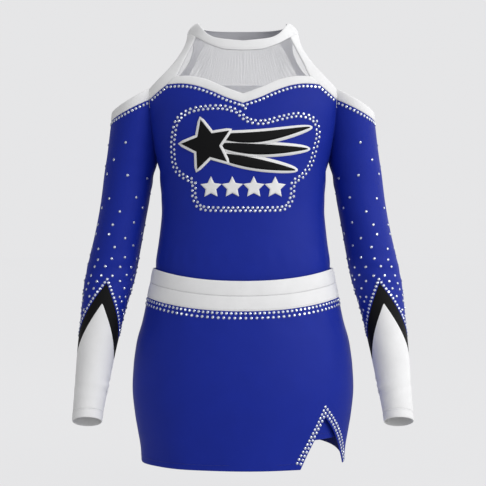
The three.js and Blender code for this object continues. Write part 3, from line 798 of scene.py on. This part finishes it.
def stitch_line(name, surface, angle, z, gap, offset, colour, body, closed=False, mirror=1):
    """A line of stitches, each a short thread that dips into the cloth at both ends."""
    places, normals = even(surface, angle, z, gap, offset, closed)
    places, normals = mirror_points(places, mirror), mirror_points(normals, mirror)
    ups = np.gradient(places, axis=0)
    half, radius = STITCH
    ring = [(math.cos(a) * radius, math.sin(a) * radius) for a in np.arange(5) * 2 * math.pi / 5]
    stations = [(-half, -0.25, 0.5), (-half * 0.5, 0.1, 1), (half * 0.5, 0.1, 1), (half, -0.25, 0.5)]
    template = np.array([(x * k, y, w * k + h) for y, h, k in stations for x, w in ring])
    sides = [(a + i, a + (i + 1) % 5) for a in (0, 5, 10) for i in range(5)]
    faces = [(i + 5, j + 5, j, i) for i, j in sides] + [(0, 1, 2, 3, 4), (19, 18, 17, 16, 15)]
    points, faces = spread(template, faces, places, normals, ups, np.full(len(places), gap / 4.4))
    made = make_piece(name, points, faces, [THREADS[colour]])
    return dress(made, body, "royal_fabric" if colour == "navy" else "white_fabric")


# ---- the top ----


def bodice(behind):
    """Half of the torso's cloth; its side edge is the side seam and then the armhole seam."""
    name = "bodice_back" if behind else "bodice_front"
    peak = BACK_PEAK if behind else PEAK

    def side(z):
        angle = armhole(z, behind)[0]
        return (180 - angle if behind else angle) - 0.03

    turn = float(torso.angle_at(*peak) / side(np.array(peak[1])))
    near = 1 - np.array([ROLL_REACH, 0.5, 0]) / (BODICE_WIDE / 2)
    half = np.concatenate([np.linspace(0, turn, 40), np.linspace(turn, 0.985, 9)[1:], near])
    across = np.concatenate([-half[:0:-1], half])

    def edge(angle, z):
        return bodice_edge(np.abs(torso.at(angle, z)[..., 0]), behind)

    top = settled(edge, lambda z: across * side(z), np.full(len(across), 505.0))
    up = edged(70, BODICE_TALL)
    levels = mix(TOP_HEM, top[None, :] - 0.05, up[:, None])
    angle = across[None, :] * side(levels) + (180 if behind else 0)
    roll = np.maximum(edge_roll(up, BODICE_TALL)[:, None], edge_roll((across + 1) / 2, BODICE_WIDE))
    Cloth(name, torso, angle, levels, roll).piece("royal_fabric", "top", [name])


def between(name, low, high, behind, count, rows, tall, outer, inner, slot, replaces, crown=0.0):
    """Cloth between two edges given as (x, z) for shares from -1 to 1, as on the yoke."""
    share = np.linspace(-1, 1, count)
    up = edged(rows, tall)
    (low_x, low_z), (high_x, high_z) = low(share), high(share)
    z = mix(low_z[None, :], high_z[None, :], up[:, None])
    x = mix(low_x[None, :], high_x[None, :], up[:, None])
    angle = torso.angle_at(x, z) + (180 if behind else 0)
    roll = edge_roll(up, tall)[:, None] + 0 * z
    swell = crown * np.sin(math.pi * up)[:, None]
    cloth = Cloth(name, torso, angle, z, roll, outer + swell, inner)
    return cloth.piece(slot, "top", replaces)


def yoke(behind):
    name = "yoke_back" if behind else "yoke_front"
    low_at, top_at = (BACK_LOW, BACK_TOP) if behind else (YOKE_LOW, YOKE_TOP)

    def low(s):
        x = s * (low_at[0] + 1.2)
        return x, (BACK_LOW[1] + 0 * s if behind else sweet_top(np.abs(x))) - 1.2

    def high(s):
        x = s * (top_at[0] + 1.2)
        edge = neck_back_low if behind else neck_front_low
        return x, edge(torso.angle_at(np.abs(x), top_at[1] if behind else mix(565, top_at[1], s * s))) + 1.2

    between(name, low, high, behind, 61, 30, 70, -0.35, -0.75, "net_fabric", [name])


def yoke_band(behind):
    name = "back_band" if behind else "sweetheart_band"

    def low(s):
        x = s * PEAK[0]
        return x, BACK_PEAK[1] + 0 * s if behind else sweet_low(np.abs(x))

    def high(s):
        x = s * (BACK_LOW if behind else YOKE_LOW)[0]
        return x, BACK_LOW[1] + 0 * s if behind else sweet_top(np.abs(x))

    between(name, low, high, behind, 121, 5, 13, 0.25, -BAND, "white_fabric", [name], crown=0.45)


def smooth_line(points, count):
    """A smooth curve through (x, z) points, evenly divided."""
    points = np.array(points, float)
    length = np.concatenate([[0], np.cumsum(np.linalg.norm(np.diff(points, axis=0), axis=1))])
    at = np.linspace(0, length[-1], count)
    return np.stack([profile(list(zip(length, points[:, k])))(at) for k in (0, 1)], -1)


def binding(behind, side):
    """One halter binding, from the neckband down to the armhole seam."""
    name = f"{'back' if behind else 'front'}_binding_{side}"
    tip_low = (float(seam_x(SEAM_LOW, behind)), SEAM_LOW)
    tip_top = (float(seam_x(SEAM_TOP, behind)), SEAM_TOP)
    if behind:
        start = (BACK_TOP[0], BACK_TOP[1] + 0.4)
        inside = [start, (63.6, 572), (74.5, 552), BACK_LOW, BACK_PEAK, (116, 507.6), tip_low]
        outside = [(74, 593), (71.5, 580), (79, 560), (93, 542), (113, 524.5), tip_top]
    else:
        start = (YOKE_TOP[0], YOKE_TOP[1] + 0.3)
        inside = [start, (73.6, 565.5), (82.3, 546.8), YOKE_LOW, PEAK, (116, 507.6), tip_low]
        outside = [(77, 592.4), (80, 574), (90, 555), (103, 538), (117, 524), tip_top]
    low, high = smooth_line(inside, 60), smooth_line(outside, 60)
    share = edged(7, 16)
    x = mix(low[None, :, 0], high[None, :, 0], share[:, None])
    z = mix(low[None, :, 1], high[None, :, 1], share[:, None])
    angle = torso.angle_at(x, z)
    if behind:
        angle, z = 180 - angle[:, ::-1], z[:, ::-1]
    roll = edge_roll(share, 16)[:, None] + 0 * z
    swell = 0.25 + 0.45 * np.sin(math.pi * share)[:, None]
    cloth = Cloth(name, torso, angle, z, roll, swell, -BAND, mirror=SIDES[side] < 0)
    cloth.piece("white_fabric", "top", [name])


def neckband():
    share = edged(8, 15)
    angle = np.broadcast_to(np.arange(192) * 360 / 192, (len(share), 192))
    low, high = neck_edge(neck_front_low, neck_back_low, angle), neck_edge(neck_front, neck_back, angle)
    z = mix(low, high, share[:, None])
    roll = edge_roll(share, 15)[:, None] + 0 * z
    swell = 0.25 + 0.5 * np.sin(math.pi * share)[:, None]
    cloth = Cloth("neckband", torso, angle, z, roll, swell, -BAND, closed=True)
    # The inner faces take the grey painted shade of the collar's inside.
    cloth.piece("white_fabric", "top", ["neckband"], lining=COLLAR_INSIDE_PAINTED_SHADE)


def neck_stitches():
    angle = np.linspace(0, 360, 400, endpoint=False)
    z = neck_edge(neck_front_low, neck_back_low, angle)
    # A grey thread line just under the neckband's lower edge: painted shadow in the seam.
    stitch_line("neckband_seam", torso, angle, z - 0.4, 2.4, 0.1, "grey", "top", closed=True)
    stitch_line("neckband_stitches", torso, angle, z + 2.6, 2.8, 0.5, "white", "top", closed=True)


def ring(
    name, surface, from_depth, to_depth, outer, inner, slot, body, crown=0.0, drop=waist_drop, top=WAIST_TOP
):
    """A ring of cloth hung from a top edge, between two depths under it."""
    share = edged(8, to_depth - from_depth)
    angle = np.broadcast_to(np.arange(192) * 360 / 192, (len(share), 192))
    z = top - drop(angle) - mix(to_depth, from_depth, share)[:, None] + 0 * angle
    roll = edge_roll(share, to_depth - from_depth)[:, None] + 0 * z
    swell = outer + crown * np.sin(math.pi * share)[:, None]
    return Cloth(name, surface, angle, z, roll, swell, inner, closed=True).piece(slot, body, [name])


def neckline_stones():
    end = float(seam_x(SEAM_LOW)) - 3
    x = np.linspace(-end, end, 900)
    z = bodice_edge(np.abs(x), False) - ROW_BELOW
    places, normals = even(torso, torso.angle_at(x, z), z, PITCH, 0.05)
    stones("neckline_stones", places, normals, STONE, "top", ["neckline_stones"])


# ---- the emblem: a shooting star with three streamers, over a row of stars ----
STAR_AT, STAR_RADIUS, STAR_TILT = (-48, 433), 35, 14
STREAMERS = [((-38, 445), (90, 458), 9), ((-36, 433), (87, 429), 5), ((-40, 420), (70, 400), 2)]
OUTLINE = 3.6  # how far the white stands out round the black
SMALL_STARS = [(x, 376) for x in (-43, -14.3, 14.3, 43)]
SMALL_RADIUS = 15


def flat_piece(name, x, z, faces, outer, inner, slot, replaces=()):
    """A flat shape of points (x, z), pressed onto the chest with a thickness."""
    angle = torso.angle_at(x, z)
    face, back = torso.lifted(angle, z, outer), torso.lifted(angle, z, inner)
    count = len(x)
    edges = {}
    for f in faces:
        for a, b in zip(f, f[1:] + f[:1]):
            edges[(a, b)] = edges.get((a, b), 0) + 1
    open_edges = [(a, b) for a, b in edges if (b, a) not in edges]
    made_faces = list(faces) + [tuple(count + i for i in f[::-1]) for f in faces]
    made_faces += [(b, a, count + a, count + b) for a, b in open_edges]
    uv = np.stack([x, z], -1)
    points, uv = np.concatenate([face, back]), np.concatenate([uv, uv])
    made = make_piece(name, points, made_faces, [FINISHES[slot]], uv)
    return dress(made, "top", slot, replaces)


def star_shape(centre, radius, tilt, grow=0.0, rings=7, waist=0.47):
    """Points and faces of a five-pointed star whose outline is moved out by grow."""
    corners = []
    for i in range(10):
        a = math.radians(tilt + 90 + 36 * i)
        r = radius if i % 2 == 0 else radius * waist
        corners.append((r * math.cos(a), r * math.sin(a)))
    outline = []
    for i in range(10):
        a, b = np.array(corners[i]), np.array(corners[(i + 1) % 10])
        out = np.array([b[1] - a[1], a[0] - b[0]])
        out = out / np.linalg.norm(out) * grow
        for s in np.linspace(0, 1, 9)[:-1]:
            outline.append(mix(a, b, s) + out)
    outline = np.array(outline)
    if grow:
        tips = [k * 8 for k in range(0, 10, 2)]
        for k in tips:
            outline[k] = np.array(corners[k // 8]) * (1 + 1.25 * grow / radius)
        for k in range(8, 80, 16):
            outline[k] = np.array(corners[k // 8]) * (1 + grow / (radius * waist))
    shares = np.linspace(0, 1, rings + 1)[1:]
    points = [np.zeros((1, 2))] + [outline * s for s in shares]
    points = np.concatenate(points) + np.array(centre)
    n = len(outline)
    faces = [(0, 1 + i, 1 + (i + 1) % n) for i in range(n)]
    for r in range(rings - 1):
        a, b = 1 + r * n, 1 + (r + 1) * n
        faces += [(a + i, b + i, b + (i + 1) % n, a + (i + 1) % n) for i in range(n)]
    return points[:, 0], points[:, 1], faces


def streamer_shape(start, end, sag, grow=0.0, count=40):
    """A tapering streamer that leaves the star and curls up a little at its end."""
    share = np.linspace(0, 1, count)
    x = mix(start[0], end[0] + grow, share)
    middle = mix(start[1], end[1], share) - sag * np.sin(math.pi * share) * (1 - 0.3 * share)
    half = grow * np.sqrt(1.05 - share**12) + 0.6 + 6.4 * np.sin(math.pi * share**0.8) ** 0.8
    rows = [middle + half * k for k in (-1, -0.5, 0, 0.5, 1)]
    points_x, points_z = np.tile(x, 5), np.concatenate(rows)
    faces = []
    for r in range(4):
        for i in range(count - 1):
            a = r * count + i
            faces.append((a, a + 1, a + 1 + count, a + count))
    return points_x, points_z, faces


def merged(shapes):
    """Several (x, z, faces) shapes as one."""
    xs, zs, faces, base = [], [], [], 0
    for x, z, found in shapes:
        faces += [tuple(i + base for i in f) for f in found]
        base += len(x)
        xs.append(x)
        zs.append(z)
    return np.concatenate(xs), np.concatenate(zs), faces


def emblem():
    streamers = [streamer_shape(*s, grow=OUTLINE) for s in STREAMERS]
    flat_piece("emblem_backing", *merged(streamers), 0.55, 0.05, "white_fabric", ["emblem_backing"])
    black = [streamer_shape(*s) for s in STREAMERS]
    flat_piece("emblem_streamers", *merged(black), 0.95, 0.6, "black_fabric", ["emblem_ribbon"])
    star = (STAR_AT, STAR_RADIUS, STAR_TILT)
    flat_piece("emblem_star_backing", *star_shape(*star, OUTLINE), 1.3, 0.7, "white_fabric")
    flat_piece("emblem_star", *star_shape(*star), 1.8, 1.35, "black_fabric")
    small = [star_shape(at, SMALL_RADIUS, 0, rings=3, waist=0.5) for at in SMALL_STARS]
    flat_piece("emblem_small_stars", *merged(small), 0.7, 0.05, "white_fabric", ["emblem_bar"])


def emblem_stones():
    """The double row round the emblem, which zigzags between its two sides."""
    outline = [
        (-8, 478), (6, 466), (26, 463), (50, 469), (76, 474), (96, 468), (102, 452), (98, 430), (92, 409),
        (80, 392), (68, 383), (66, 364), (58, 350), (30, 347), (0, 347), (-30, 347), (-58, 350), (-66, 364),
        (-67, 384), (-78, 390), (-91, 402), (-95, 424), (-94, 448), (-88, 468), (-72, 479), (-50, 483),
        (-26, 483), (-8, 478),
    ]
    line = smooth_line(outline, 900)
    ahead = np.roll(line[:-1], -1, 0) - np.roll(line[:-1], 1, 0)
    side = np.stack([-ahead[:, 1], ahead[:, 0]], -1) / np.linalg.norm(ahead, axis=1, keepdims=True)
    length = np.linalg.norm(np.diff(line, axis=0), axis=1).sum()
    count = 2 * int(length / (2 * ZIGZAG[0]))
    at = (np.arange(count) * (len(line) - 1) / count).astype(int)
    swing = np.where(np.arange(count) % 2, ZIGZAG[1], -ZIGZAG[1])[:, None]
    to_neckline = [[-1.5, 486], [3.2, 481.5]]
    spots = np.concatenate([line[at] + side[at] * swing, to_neckline])
    angle = torso.angle_at(spots[:, 0], spots[:, 1])
    places, normals = torso.lifted(angle, spots[:, 1], 0.05), torso.normal(angle, spots[:, 1])
    stones("emblem_stones", places, normals, STONE, "top", ["emblem_stones"], seed=5)


def build_top():
    for behind in (False, True):
        bodice(behind)
        yoke(behind)
        yoke_band(behind)
        for side in SIDES:
            binding(behind, side)
    neckband()
    neck_stitches()
    hem_top, inside = TOP_HEM + 14, -CLOTH - INNER_GAP
    ring("top_hem_elastic", torso, 0, 12, inside, inside - 1, "elastic", "top", drop=nothing, top=hem_top)
    neckline_stones()
    emblem()
    emblem_stones()


# ---- sleeves ----


def sleeve_angle(around, z):
    """The angle at a share of the way round; the armhole only draws in the cloth close to it."""
    level = mix(UNDERARM, UNDERARM + 360, around)
    front = (armhole(z, False)[1] - UNDERARM + 0.03) * (1 - around) ** 4
    back = (armhole(z, True)[1] - UNDERARM - 360 - 0.03) * around**4
    return level + front + back


def sleeve_piece(name, side, low, high, rows, tall, slot, outer=0.0, inner=-CLOTH, crown=0.0, count=96):
    """Cloth round the arm between two edges, sewn along the underarm seam and the armhole."""
    around = edged(count, SLEEVE_ROUND)
    up = edged(rows, tall)
    start = np.full(len(around), 400.0)
    low_z, high_z = (settled(edge, lambda z: sleeve_angle(around, z), start) for edge in (low, high))
    z = mix(low_z[None, :], high_z[None, :] - 0.05, up[:, None])
    angle = sleeve_angle(around[None, :], z)
    roll = np.maximum(edge_roll(up, tall)[:, None], edge_roll(around, SLEEVE_ROUND))
    swell = outer + crown * np.sin(math.pi * up)[:, None]
    node = f"{name}_{side}"
    cloth = Cloth(node, arm, angle, z, roll, swell, inner, mirror=SIDES[side] < 0)
    return cloth.piece(slot, f"{side}_sleeve", [node])


def round_line(low, count=500):
    """A line round the sleeve along an edge, as angles and heights."""
    around = np.linspace(0.004, 0.996, count)
    z = settled(low, lambda z: sleeve_angle(around, z), np.full(count, 400.0))
    return sleeve_angle(around, z), z


def sleeve_row(name, side, row):
    """A row of stones on a sleeve, given as places and normals on the left one."""
    places, normals = (mirror_points(part, SIDES[side]) for part in row)
    stones(f"{name}_{side}", places, normals, STONE, f"{side}_sleeve", [f"{name}_{side}"], seed=11)


def scattered_stones(side):
    """Single stones that thin out from the chevron up to the shoulder, each row staggered."""
    draw = random.Random(29)
    angles, heights = [], []
    gap_at = profile(SCATTER_GAPS)
    z, odd = SCATTER_FROM, 0
    while z < SCATTER_TO:
        gap = float(gap_at(z))
        per_turn = max(int(round(2 * math.pi * 34 / (gap * 1.25))), 4)
        for i in range(per_turn):
            angle = (i + 0.5 * odd) * 360 / per_turn - 88 + draw.uniform(-0.16, 0.16) * 360 / per_turn
            height = z + draw.uniform(-0.22, 0.22) * gap
            near_seam = height > 400 and abs((angle + 90 + 180) % 360 - 180) < 62
            if height > float(chevron_top(angle)) + 13 and not near_seam:
                angles.append(angle)
                heights.append(height)
        z += gap * 0.8
        odd = 1 - odd
    angles, heights = np.array(angles), np.array(heights)
    places, normals = arm.lifted(angles, heights, 0.05), arm.normal(angles, heights)
    places, normals = mirror_points(places, SIDES[side]), mirror_points(normals, SIDES[side])
    stones(f"scattered_stones_{side}", places, normals, STONE * 0.94, f"{side}_sleeve", seed=17)


def build_sleeve(side):
    body = f"{side}_sleeve"
    low_band, top_band = over_band(band_low), over_band(band_top)
    cuff_edge, mouth = square_cut(CUFF_Z + CUFF_DEPTH), square_cut(CUFF_Z)
    sleeve_piece("sleeve", side, chevron_top, low_band, 90, 280, "royal_fabric")
    sleeve_piece("sleeve_chevron", side, forearm_top, chevron_top, 12, 27, "black_fabric")
    sleeve_piece("sleeve_forearm", side, cuff_edge, forearm_top, 50, 110, "white_fabric")
    sleeve_piece("sleeve_cuff", side, mouth, cuff_edge, 6, 11, "white_fabric", 0.15, crown=0.15)
    sleeve_piece("shoulder_band", side, low_band, top_band, 6, 13, "white_fabric", 0.25, -BAND, 0.45)
    low, high = over_band(band_low, 3), over_band(band_top, -3)
    inside = -BAND - INNER_GAP
    sleeve_piece("shoulder_elastic", side, low, high, 4, 8, "elastic", inside, inside - 1)
    under_band = round_line(over_band(band_low, -ROW_BELOW))
    sleeve_row("shoulder_stones", side, even(arm, *under_band, PITCH, 0.05))
    turn = np.linspace(0, 360, 600, endpoint=False)
    above, gap = CHEVRON_ROW
    row = even(arm, turn, chevron_top(turn) + above, gap, 0.05, closed=True, start=0)
    sleeve_row("chevron_stones", side, row)
    scattered_stones(side)
    hem = round_line(shifted(cuff_edge, -1.6))
    stitch_line(f"cuff_stitches_{side}", arm, *hem, 2.6, 0.3, "white", body, mirror=SIDES[side])


# ---- the skirt ----


def skirt_panel(behind):
    name = "skirt_back" if behind else "skirt_front"
    angle = mix(-89.97, 89.97, edged(110, SKIRT_WIDE))
    if not behind:
        extra = [NOTCH_LEFT, NOTCH_APEX, NOTCH_RIGHT, *np.linspace(NOTCH_LEFT, NOTCH_RIGHT, 31)]
        angle = np.unique(np.concatenate([angle, extra]).round(3))
    up = edged(60, SKIRT_TALL)
    low = back_hem_at(angle) if behind else hem_at(angle)
    turned = angle + (180 if behind else 0)
    high = WAIST_TOP - 2 * BAND_DEPTH - waist_drop(turned)
    z = mix(low[None, :], high[None, :], up[:, None])
    roll = np.maximum(edge_roll(up, SKIRT_TALL)[:, None], edge_roll((angle + 90) / 180, SKIRT_WIDE))
    cloth = Cloth(name, skirt, np.broadcast_to(turned, z.shape), z, roll)
    cloth.piece("royal_fabric", "skirt", [name], held="hung", lining=NAVY)


def shorts_panel(behind):
    name = "shorts_back" if behind else "shorts_front"
    inseam = float(skirt.angle_at(INSEAM_HALF, SHORTS_HEM))
    angle = np.sort(np.concatenate([mix(-89.97, 89.97, edged(70, SHORTS_WIDE)), [-inseam, inseam]]))
    up = edged(40, SHORTS_TALL)
    low = np.where(np.abs(angle) < inseam - 0.1, CROTCH, SHORTS_HEM)
    turned = angle + (180 if behind else 0)
    high = SHORTS_TOP - waist_drop(turned)
    z = mix(low[None, :], high[None, :], up[:, None])
    roll = edge_roll(up, SHORTS_TALL)[:, None] + 0 * z
    cloth = Cloth(name, skirt, np.broadcast_to(turned, z.shape), z, roll, -SHORTS_IN, -SHORTS_IN - CLOTH)
    cloth.piece("royal_fabric", "skirt", [name])


def gusset():
    """The arch of cloth between the legs, from the front of the shorts to the back."""
    room = SHORTS_IN + CLOTH * 0.5
    start, stop = skirt.at(0, SHORTS_HEM)[1] + room, skirt.at(180, SHORTS_HEM)[1] - room
    turn = np.linspace(0, math.pi, 17)
    legs = np.linspace(SHORTS_HEM, CROTCH - INSEAM_HALF, 6)
    x = np.concatenate([np.full(6, INSEAM_HALF), INSEAM_HALF * np.cos(turn), np.full(6, -INSEAM_HALF)])
    z = np.concatenate([legs, CROTCH - INSEAM_HALF + INSEAM_HALF * np.sin(turn), legs[::-1]])
    arch = np.stack([np.cos(turn), np.sin(turn)], -1)
    out = np.concatenate([np.tile([[1, 0]], (6, 1)), arch, np.tile([[-1, 0]], (6, 1))])
    depth = np.linspace(start, stop, 24)
    sag = -5 * np.sin(math.pi * (depth - start) / (stop - start))
    layers = []
    for thick in (0, CLOTH):
        xs, zs = x - out[:, 0] * thick, z - out[:, 1] * thick
        drops = [(d, s * (zs > SHORTS_HEM + 4)) for d, s in zip(depth, sag)]
        layers.append([(a, d, b) for d, drop in drops for a, b in zip(xs, zs + drop)])
    uv = np.array([(a + b, d) for d in depth for a, b in zip(x, z)] * 2)
    faces = shell_faces(len(depth), len(x))
    made = make_piece("shorts_gusset", np.array(layers[0] + layers[1]), faces, [ROYAL], uv)
    dress(made, "skirt", "royal_fabric", ["shorts_gusset"])


def leg_elastic(side):
    inseam = float(skirt.angle_at(INSEAM_HALF + 4, SHORTS_HEM))
    angle = np.linspace(inseam, 180 - inseam, 90)
    up = edged(4, 8)
    z = np.broadcast_to(mix(SHORTS_HEM + 1, SHORTS_HEM + 9, up)[:, None], (len(up), 90))
    offset = -SHORTS_IN - CLOTH - INNER_GAP
    name = f"leg_elastic_{side}"
    roll = edge_roll(up, 8)[:, None] * 0.5 + 0 * z
    angle = np.broadcast_to(angle, z.shape)
    cloth = Cloth(name, skirt, angle, z, roll, offset, offset - 1, mirror=SIDES[side] < 0)
    cloth.piece("elastic", "skirt", [name])


def notch_row(out):
    """A row that keeps a distance from both edges of the notch and turns sharply over its apex."""
    legs = []
    for end, sign in ((NOTCH_LEFT, -1), (NOTCH_RIGHT, 1)):
        angle = mix(NOTCH_APEX, end, np.linspace(0, 0.995, 150))
        z = hem_at(angle)
        level = np.gradient(skirt.at(angle, z)[:, :2], axis=0)
        width = np.linalg.norm(level, axis=1) / np.abs(np.gradient(angle))
        run, rise = np.gradient(angle) * width, np.gradient(z)
        length = np.hypot(run, rise)
        away = angle + out * sign * np.abs(rise) / length / width
        legs.append(np.stack([away, z + out * np.abs(run) / length], -1))
    left, right = legs
    climb, fall = ((leg[1, 1] - leg[0, 1]) / (leg[1, 0] - leg[0, 0]) for leg in legs)
    gap = right[0, 1] - left[0, 1] + climb * left[0, 0] - fall * right[0, 0]
    apex = gap / (climb - fall)
    peak = [[apex, left[0, 1] + climb * (apex - left[0, 0])]]
    line = np.concatenate([left[::-1], peak, right])
    return line[line[:, 1] > HEM + STONE + 0.3].T


def skirt_stones():
    round_angles = np.linspace(0, 360, 900, endpoint=False)
    upper, lower = [], []
    for row, (below, gap) in zip((upper, lower), WAIST_ROWS):
        z = WAIST_TOP - waist_drop(round_angles) - (2 * BAND_DEPTH + below)
        row += even(skirt, round_angles, z, gap, 0.05, closed=True)
    places, normals = (np.concatenate([a, b]) for a, b in zip(upper, lower))
    stones("waist_stones", places, normals, STONE, "skirt", ["waist_stones"], seed=23)
    places, normals = [], []
    for out in NOTCH_ROWS:
        angle, z = notch_row(out)
        apex = int(np.argmax(z))
        for leg, start in ((slice(apex, None, -1), 0), (slice(apex, None), 1)):
            found = even(skirt, angle[leg], z[leg], PITCH - 0.2, 0.05, start=start)
            places.append(found[0])
            normals.append(found[1])
    places, normals = np.concatenate(places), np.concatenate(normals)
    stones("notch_stones", places, normals, STONE, "skirt", ["notch_stones"], seed=31)


def skirt_stitches():
    """Stitches at the hems and low on the waistband, and a grey thread line along the waistband's middle
    seam that paints the seam's shadow.
    """
    angle = np.linspace(NOTCH_RIGHT + 4, 360 + NOTCH_LEFT - 4, 900)
    behind = (angle > 90) & (angle < 270)
    z = np.where(behind, back_hem_at(angle - 180), HEM) + HEM_TURN
    stitch_line("hem_stitches", skirt, angle, z, 2.8, 0.1, "navy", "skirt")
    around = np.linspace(0, 360, 600, endpoint=False)
    drop = waist_drop(around)
    # The grey row along the waistband's middle seam is painted shadow in the seam.
    rows = (("seam", BAND_DEPTH, PROUD, "grey"), ("lower", 2 * BAND_DEPTH - 2.4, PROUD + 0.2, "white"))
    for name, depth, offset, colour in rows:
        z, name = WAIST_TOP - drop - depth, f"waist_stitches_{name}"
        stitch_line(name, skirt, around, z, 2.4, offset, colour, "skirt", closed=True)
    inseam = float(skirt.angle_at(INSEAM_HALF + 3, SHORTS_HEM))
    for side, sign in SIDES.items():
        angle = np.linspace(inseam, 180 - inseam, 400)
        z = 0 * angle + SHORTS_HEM + HEM_TURN
        name, offset = f"shorts_stitches_{side}", -SHORTS_IN + 0.1
        stitch_line(name, skirt, angle, z, 2.8, offset, "navy", "skirt", mirror=sign)


def build_skirt():
    for name, start in (("waistband_upper", 0), ("waistband_lower", BAND_DEPTH)):
        ring(name, skirt, start, start + BAND_DEPTH, PROUD - 0.3, -CLOTH, "white_fabric", "skirt", crown=0.5)
    inside = -CLOTH - INNER_GAP
    ring("waist_elastic", skirt, 2, 2 * BAND_DEPTH - 4, inside, inside - 0.8, "elastic", "skirt")
    for behind in (False, True):
        skirt_panel(behind)
        shorts_panel(behind)
    gusset()
    for side in SIDES:
        leg_elastic(side)
    skirt_stones()
    skirt_stitches()


# ---- the studio ----
EYE_HEIGHT, EYE_DISTANCE, VIEW_WIDTH = 0.3017, 1.75, 0.6804


def camera():
    data = bpy.data.cameras.new("camera")
    data.sensor_width = 36
    data.lens = data.sensor_width * EYE_DISTANCE / VIEW_WIDTH
    made = bpy.data.objects.new("camera", data)
    made.location = (0, -EYE_DISTANCE, EYE_HEIGHT)
    made.rotation_euler = (math.pi / 2, 0, 0)
    bpy.context.collection.objects.link(made)
    bpy.context.scene.camera = made


def softbox(name, place, size, watts, look=(0, 0, 0.32)):
    data = bpy.data.lights.new(name, "AREA")
    data.shape, data.size, data.size_y, data.energy = "RECTANGLE", size[0], size[1], watts
    made = bpy.data.objects.new(name, data)
    made.location = place
    made.rotation_euler = (Vector(look) - Vector(place)).to_track_quat("-Z", "Y").to_euler()
    bpy.context.collection.objects.link(made)


BACKDROP = (0.79, 0.79, 0.80)
AMBIENT, SIDE_LIGHT = 0.94, 0.74  # how strongly the backdrop lights the cloth, and its lean to +X
FLOOR_LIGHT = 0.6


def seen_or_felt(n, seen, felt):
    """One value where the eye meets the backdrop, and another for the light that it sheds."""
    path, choice = n.new("ShaderNodeLightPath"), n.new("ShaderNodeMix")
    for value, place in zip((path.outputs["Is Camera Ray"], felt, seen), (0, 2, 3)):
        n.feed(value, choice.inputs[place])
    return choice.outputs[0]


def floor_paint():
    """A pale floor that melts into the backdrop."""
    material, n, shader = principled("floor_paint", (0.05, 0.05, 0.05), 0.9)
    shader.inputs["Specular IOR Level"].default_value = 0.0
    grain = n.new("ShaderNodeTexNoise")
    grain.inputs["Scale"].default_value = 6
    tint = n.new("ShaderNodeMix", data_type="RGBA")
    tint.inputs[6].default_value = (0.745, 0.745, 0.755, 1)
    tint.inputs[7].default_value = (0.755, 0.755, 0.765, 1)
    n.feed(grain.outputs["Fac"], tint.inputs[0])
    n.feed(tint.outputs[2], shader.inputs["Emission Color"])
    n.feed(seen_or_felt(n, 1.0, FLOOR_LIGHT), shader.inputs["Emission Strength"])
    return material


def studio():
    world = bpy.data.worlds.new("studio")
    bpy.context.scene.world = world
    world.use_nodes = True
    n = Nodes(world.node_tree)
    backdrop = world.node_tree.nodes["Background"]
    backdrop.inputs["Color"].default_value = (*BACKDROP, 1)
    way = n.new("ShaderNodeTexCoord")
    parts = n.new("ShaderNodeSeparateXYZ")
    n.feed(way.outputs["Generated"], parts.inputs[0])
    felt = n.math("MULTIPLY_ADD", parts.outputs[0], SIDE_LIGHT, AMBIENT)
    n.feed(seen_or_felt(n, 1.0, felt), backdrop.inputs["Strength"])
    size = 30
    corners = [(-size, -size, 0), (size, -size, 0), (size, size, 0), (-size, size, 0)]
    points = np.array(corners) / MM + np.array([0, 0, -60])
    floor = make_piece("floor", points, [(0, 1, 2, 3)], [floor_paint()])
    softbox("key", (1.8, -1.4, 1.2), (0.8, 1.0), 18)
    softbox("fill", (-1.6, -1.5, 0.9), (0.5, 0.6), 2)
    softbox("rim", (-0.6, 1.6, 1.6), (1.4, 0.8), 5)
    bpy.context.scene.view_settings.view_transform = "Standard"


camera()
build_top()
for arm_side in SIDES:
    build_sleeve(arm_side)
build_skirt()
studio()
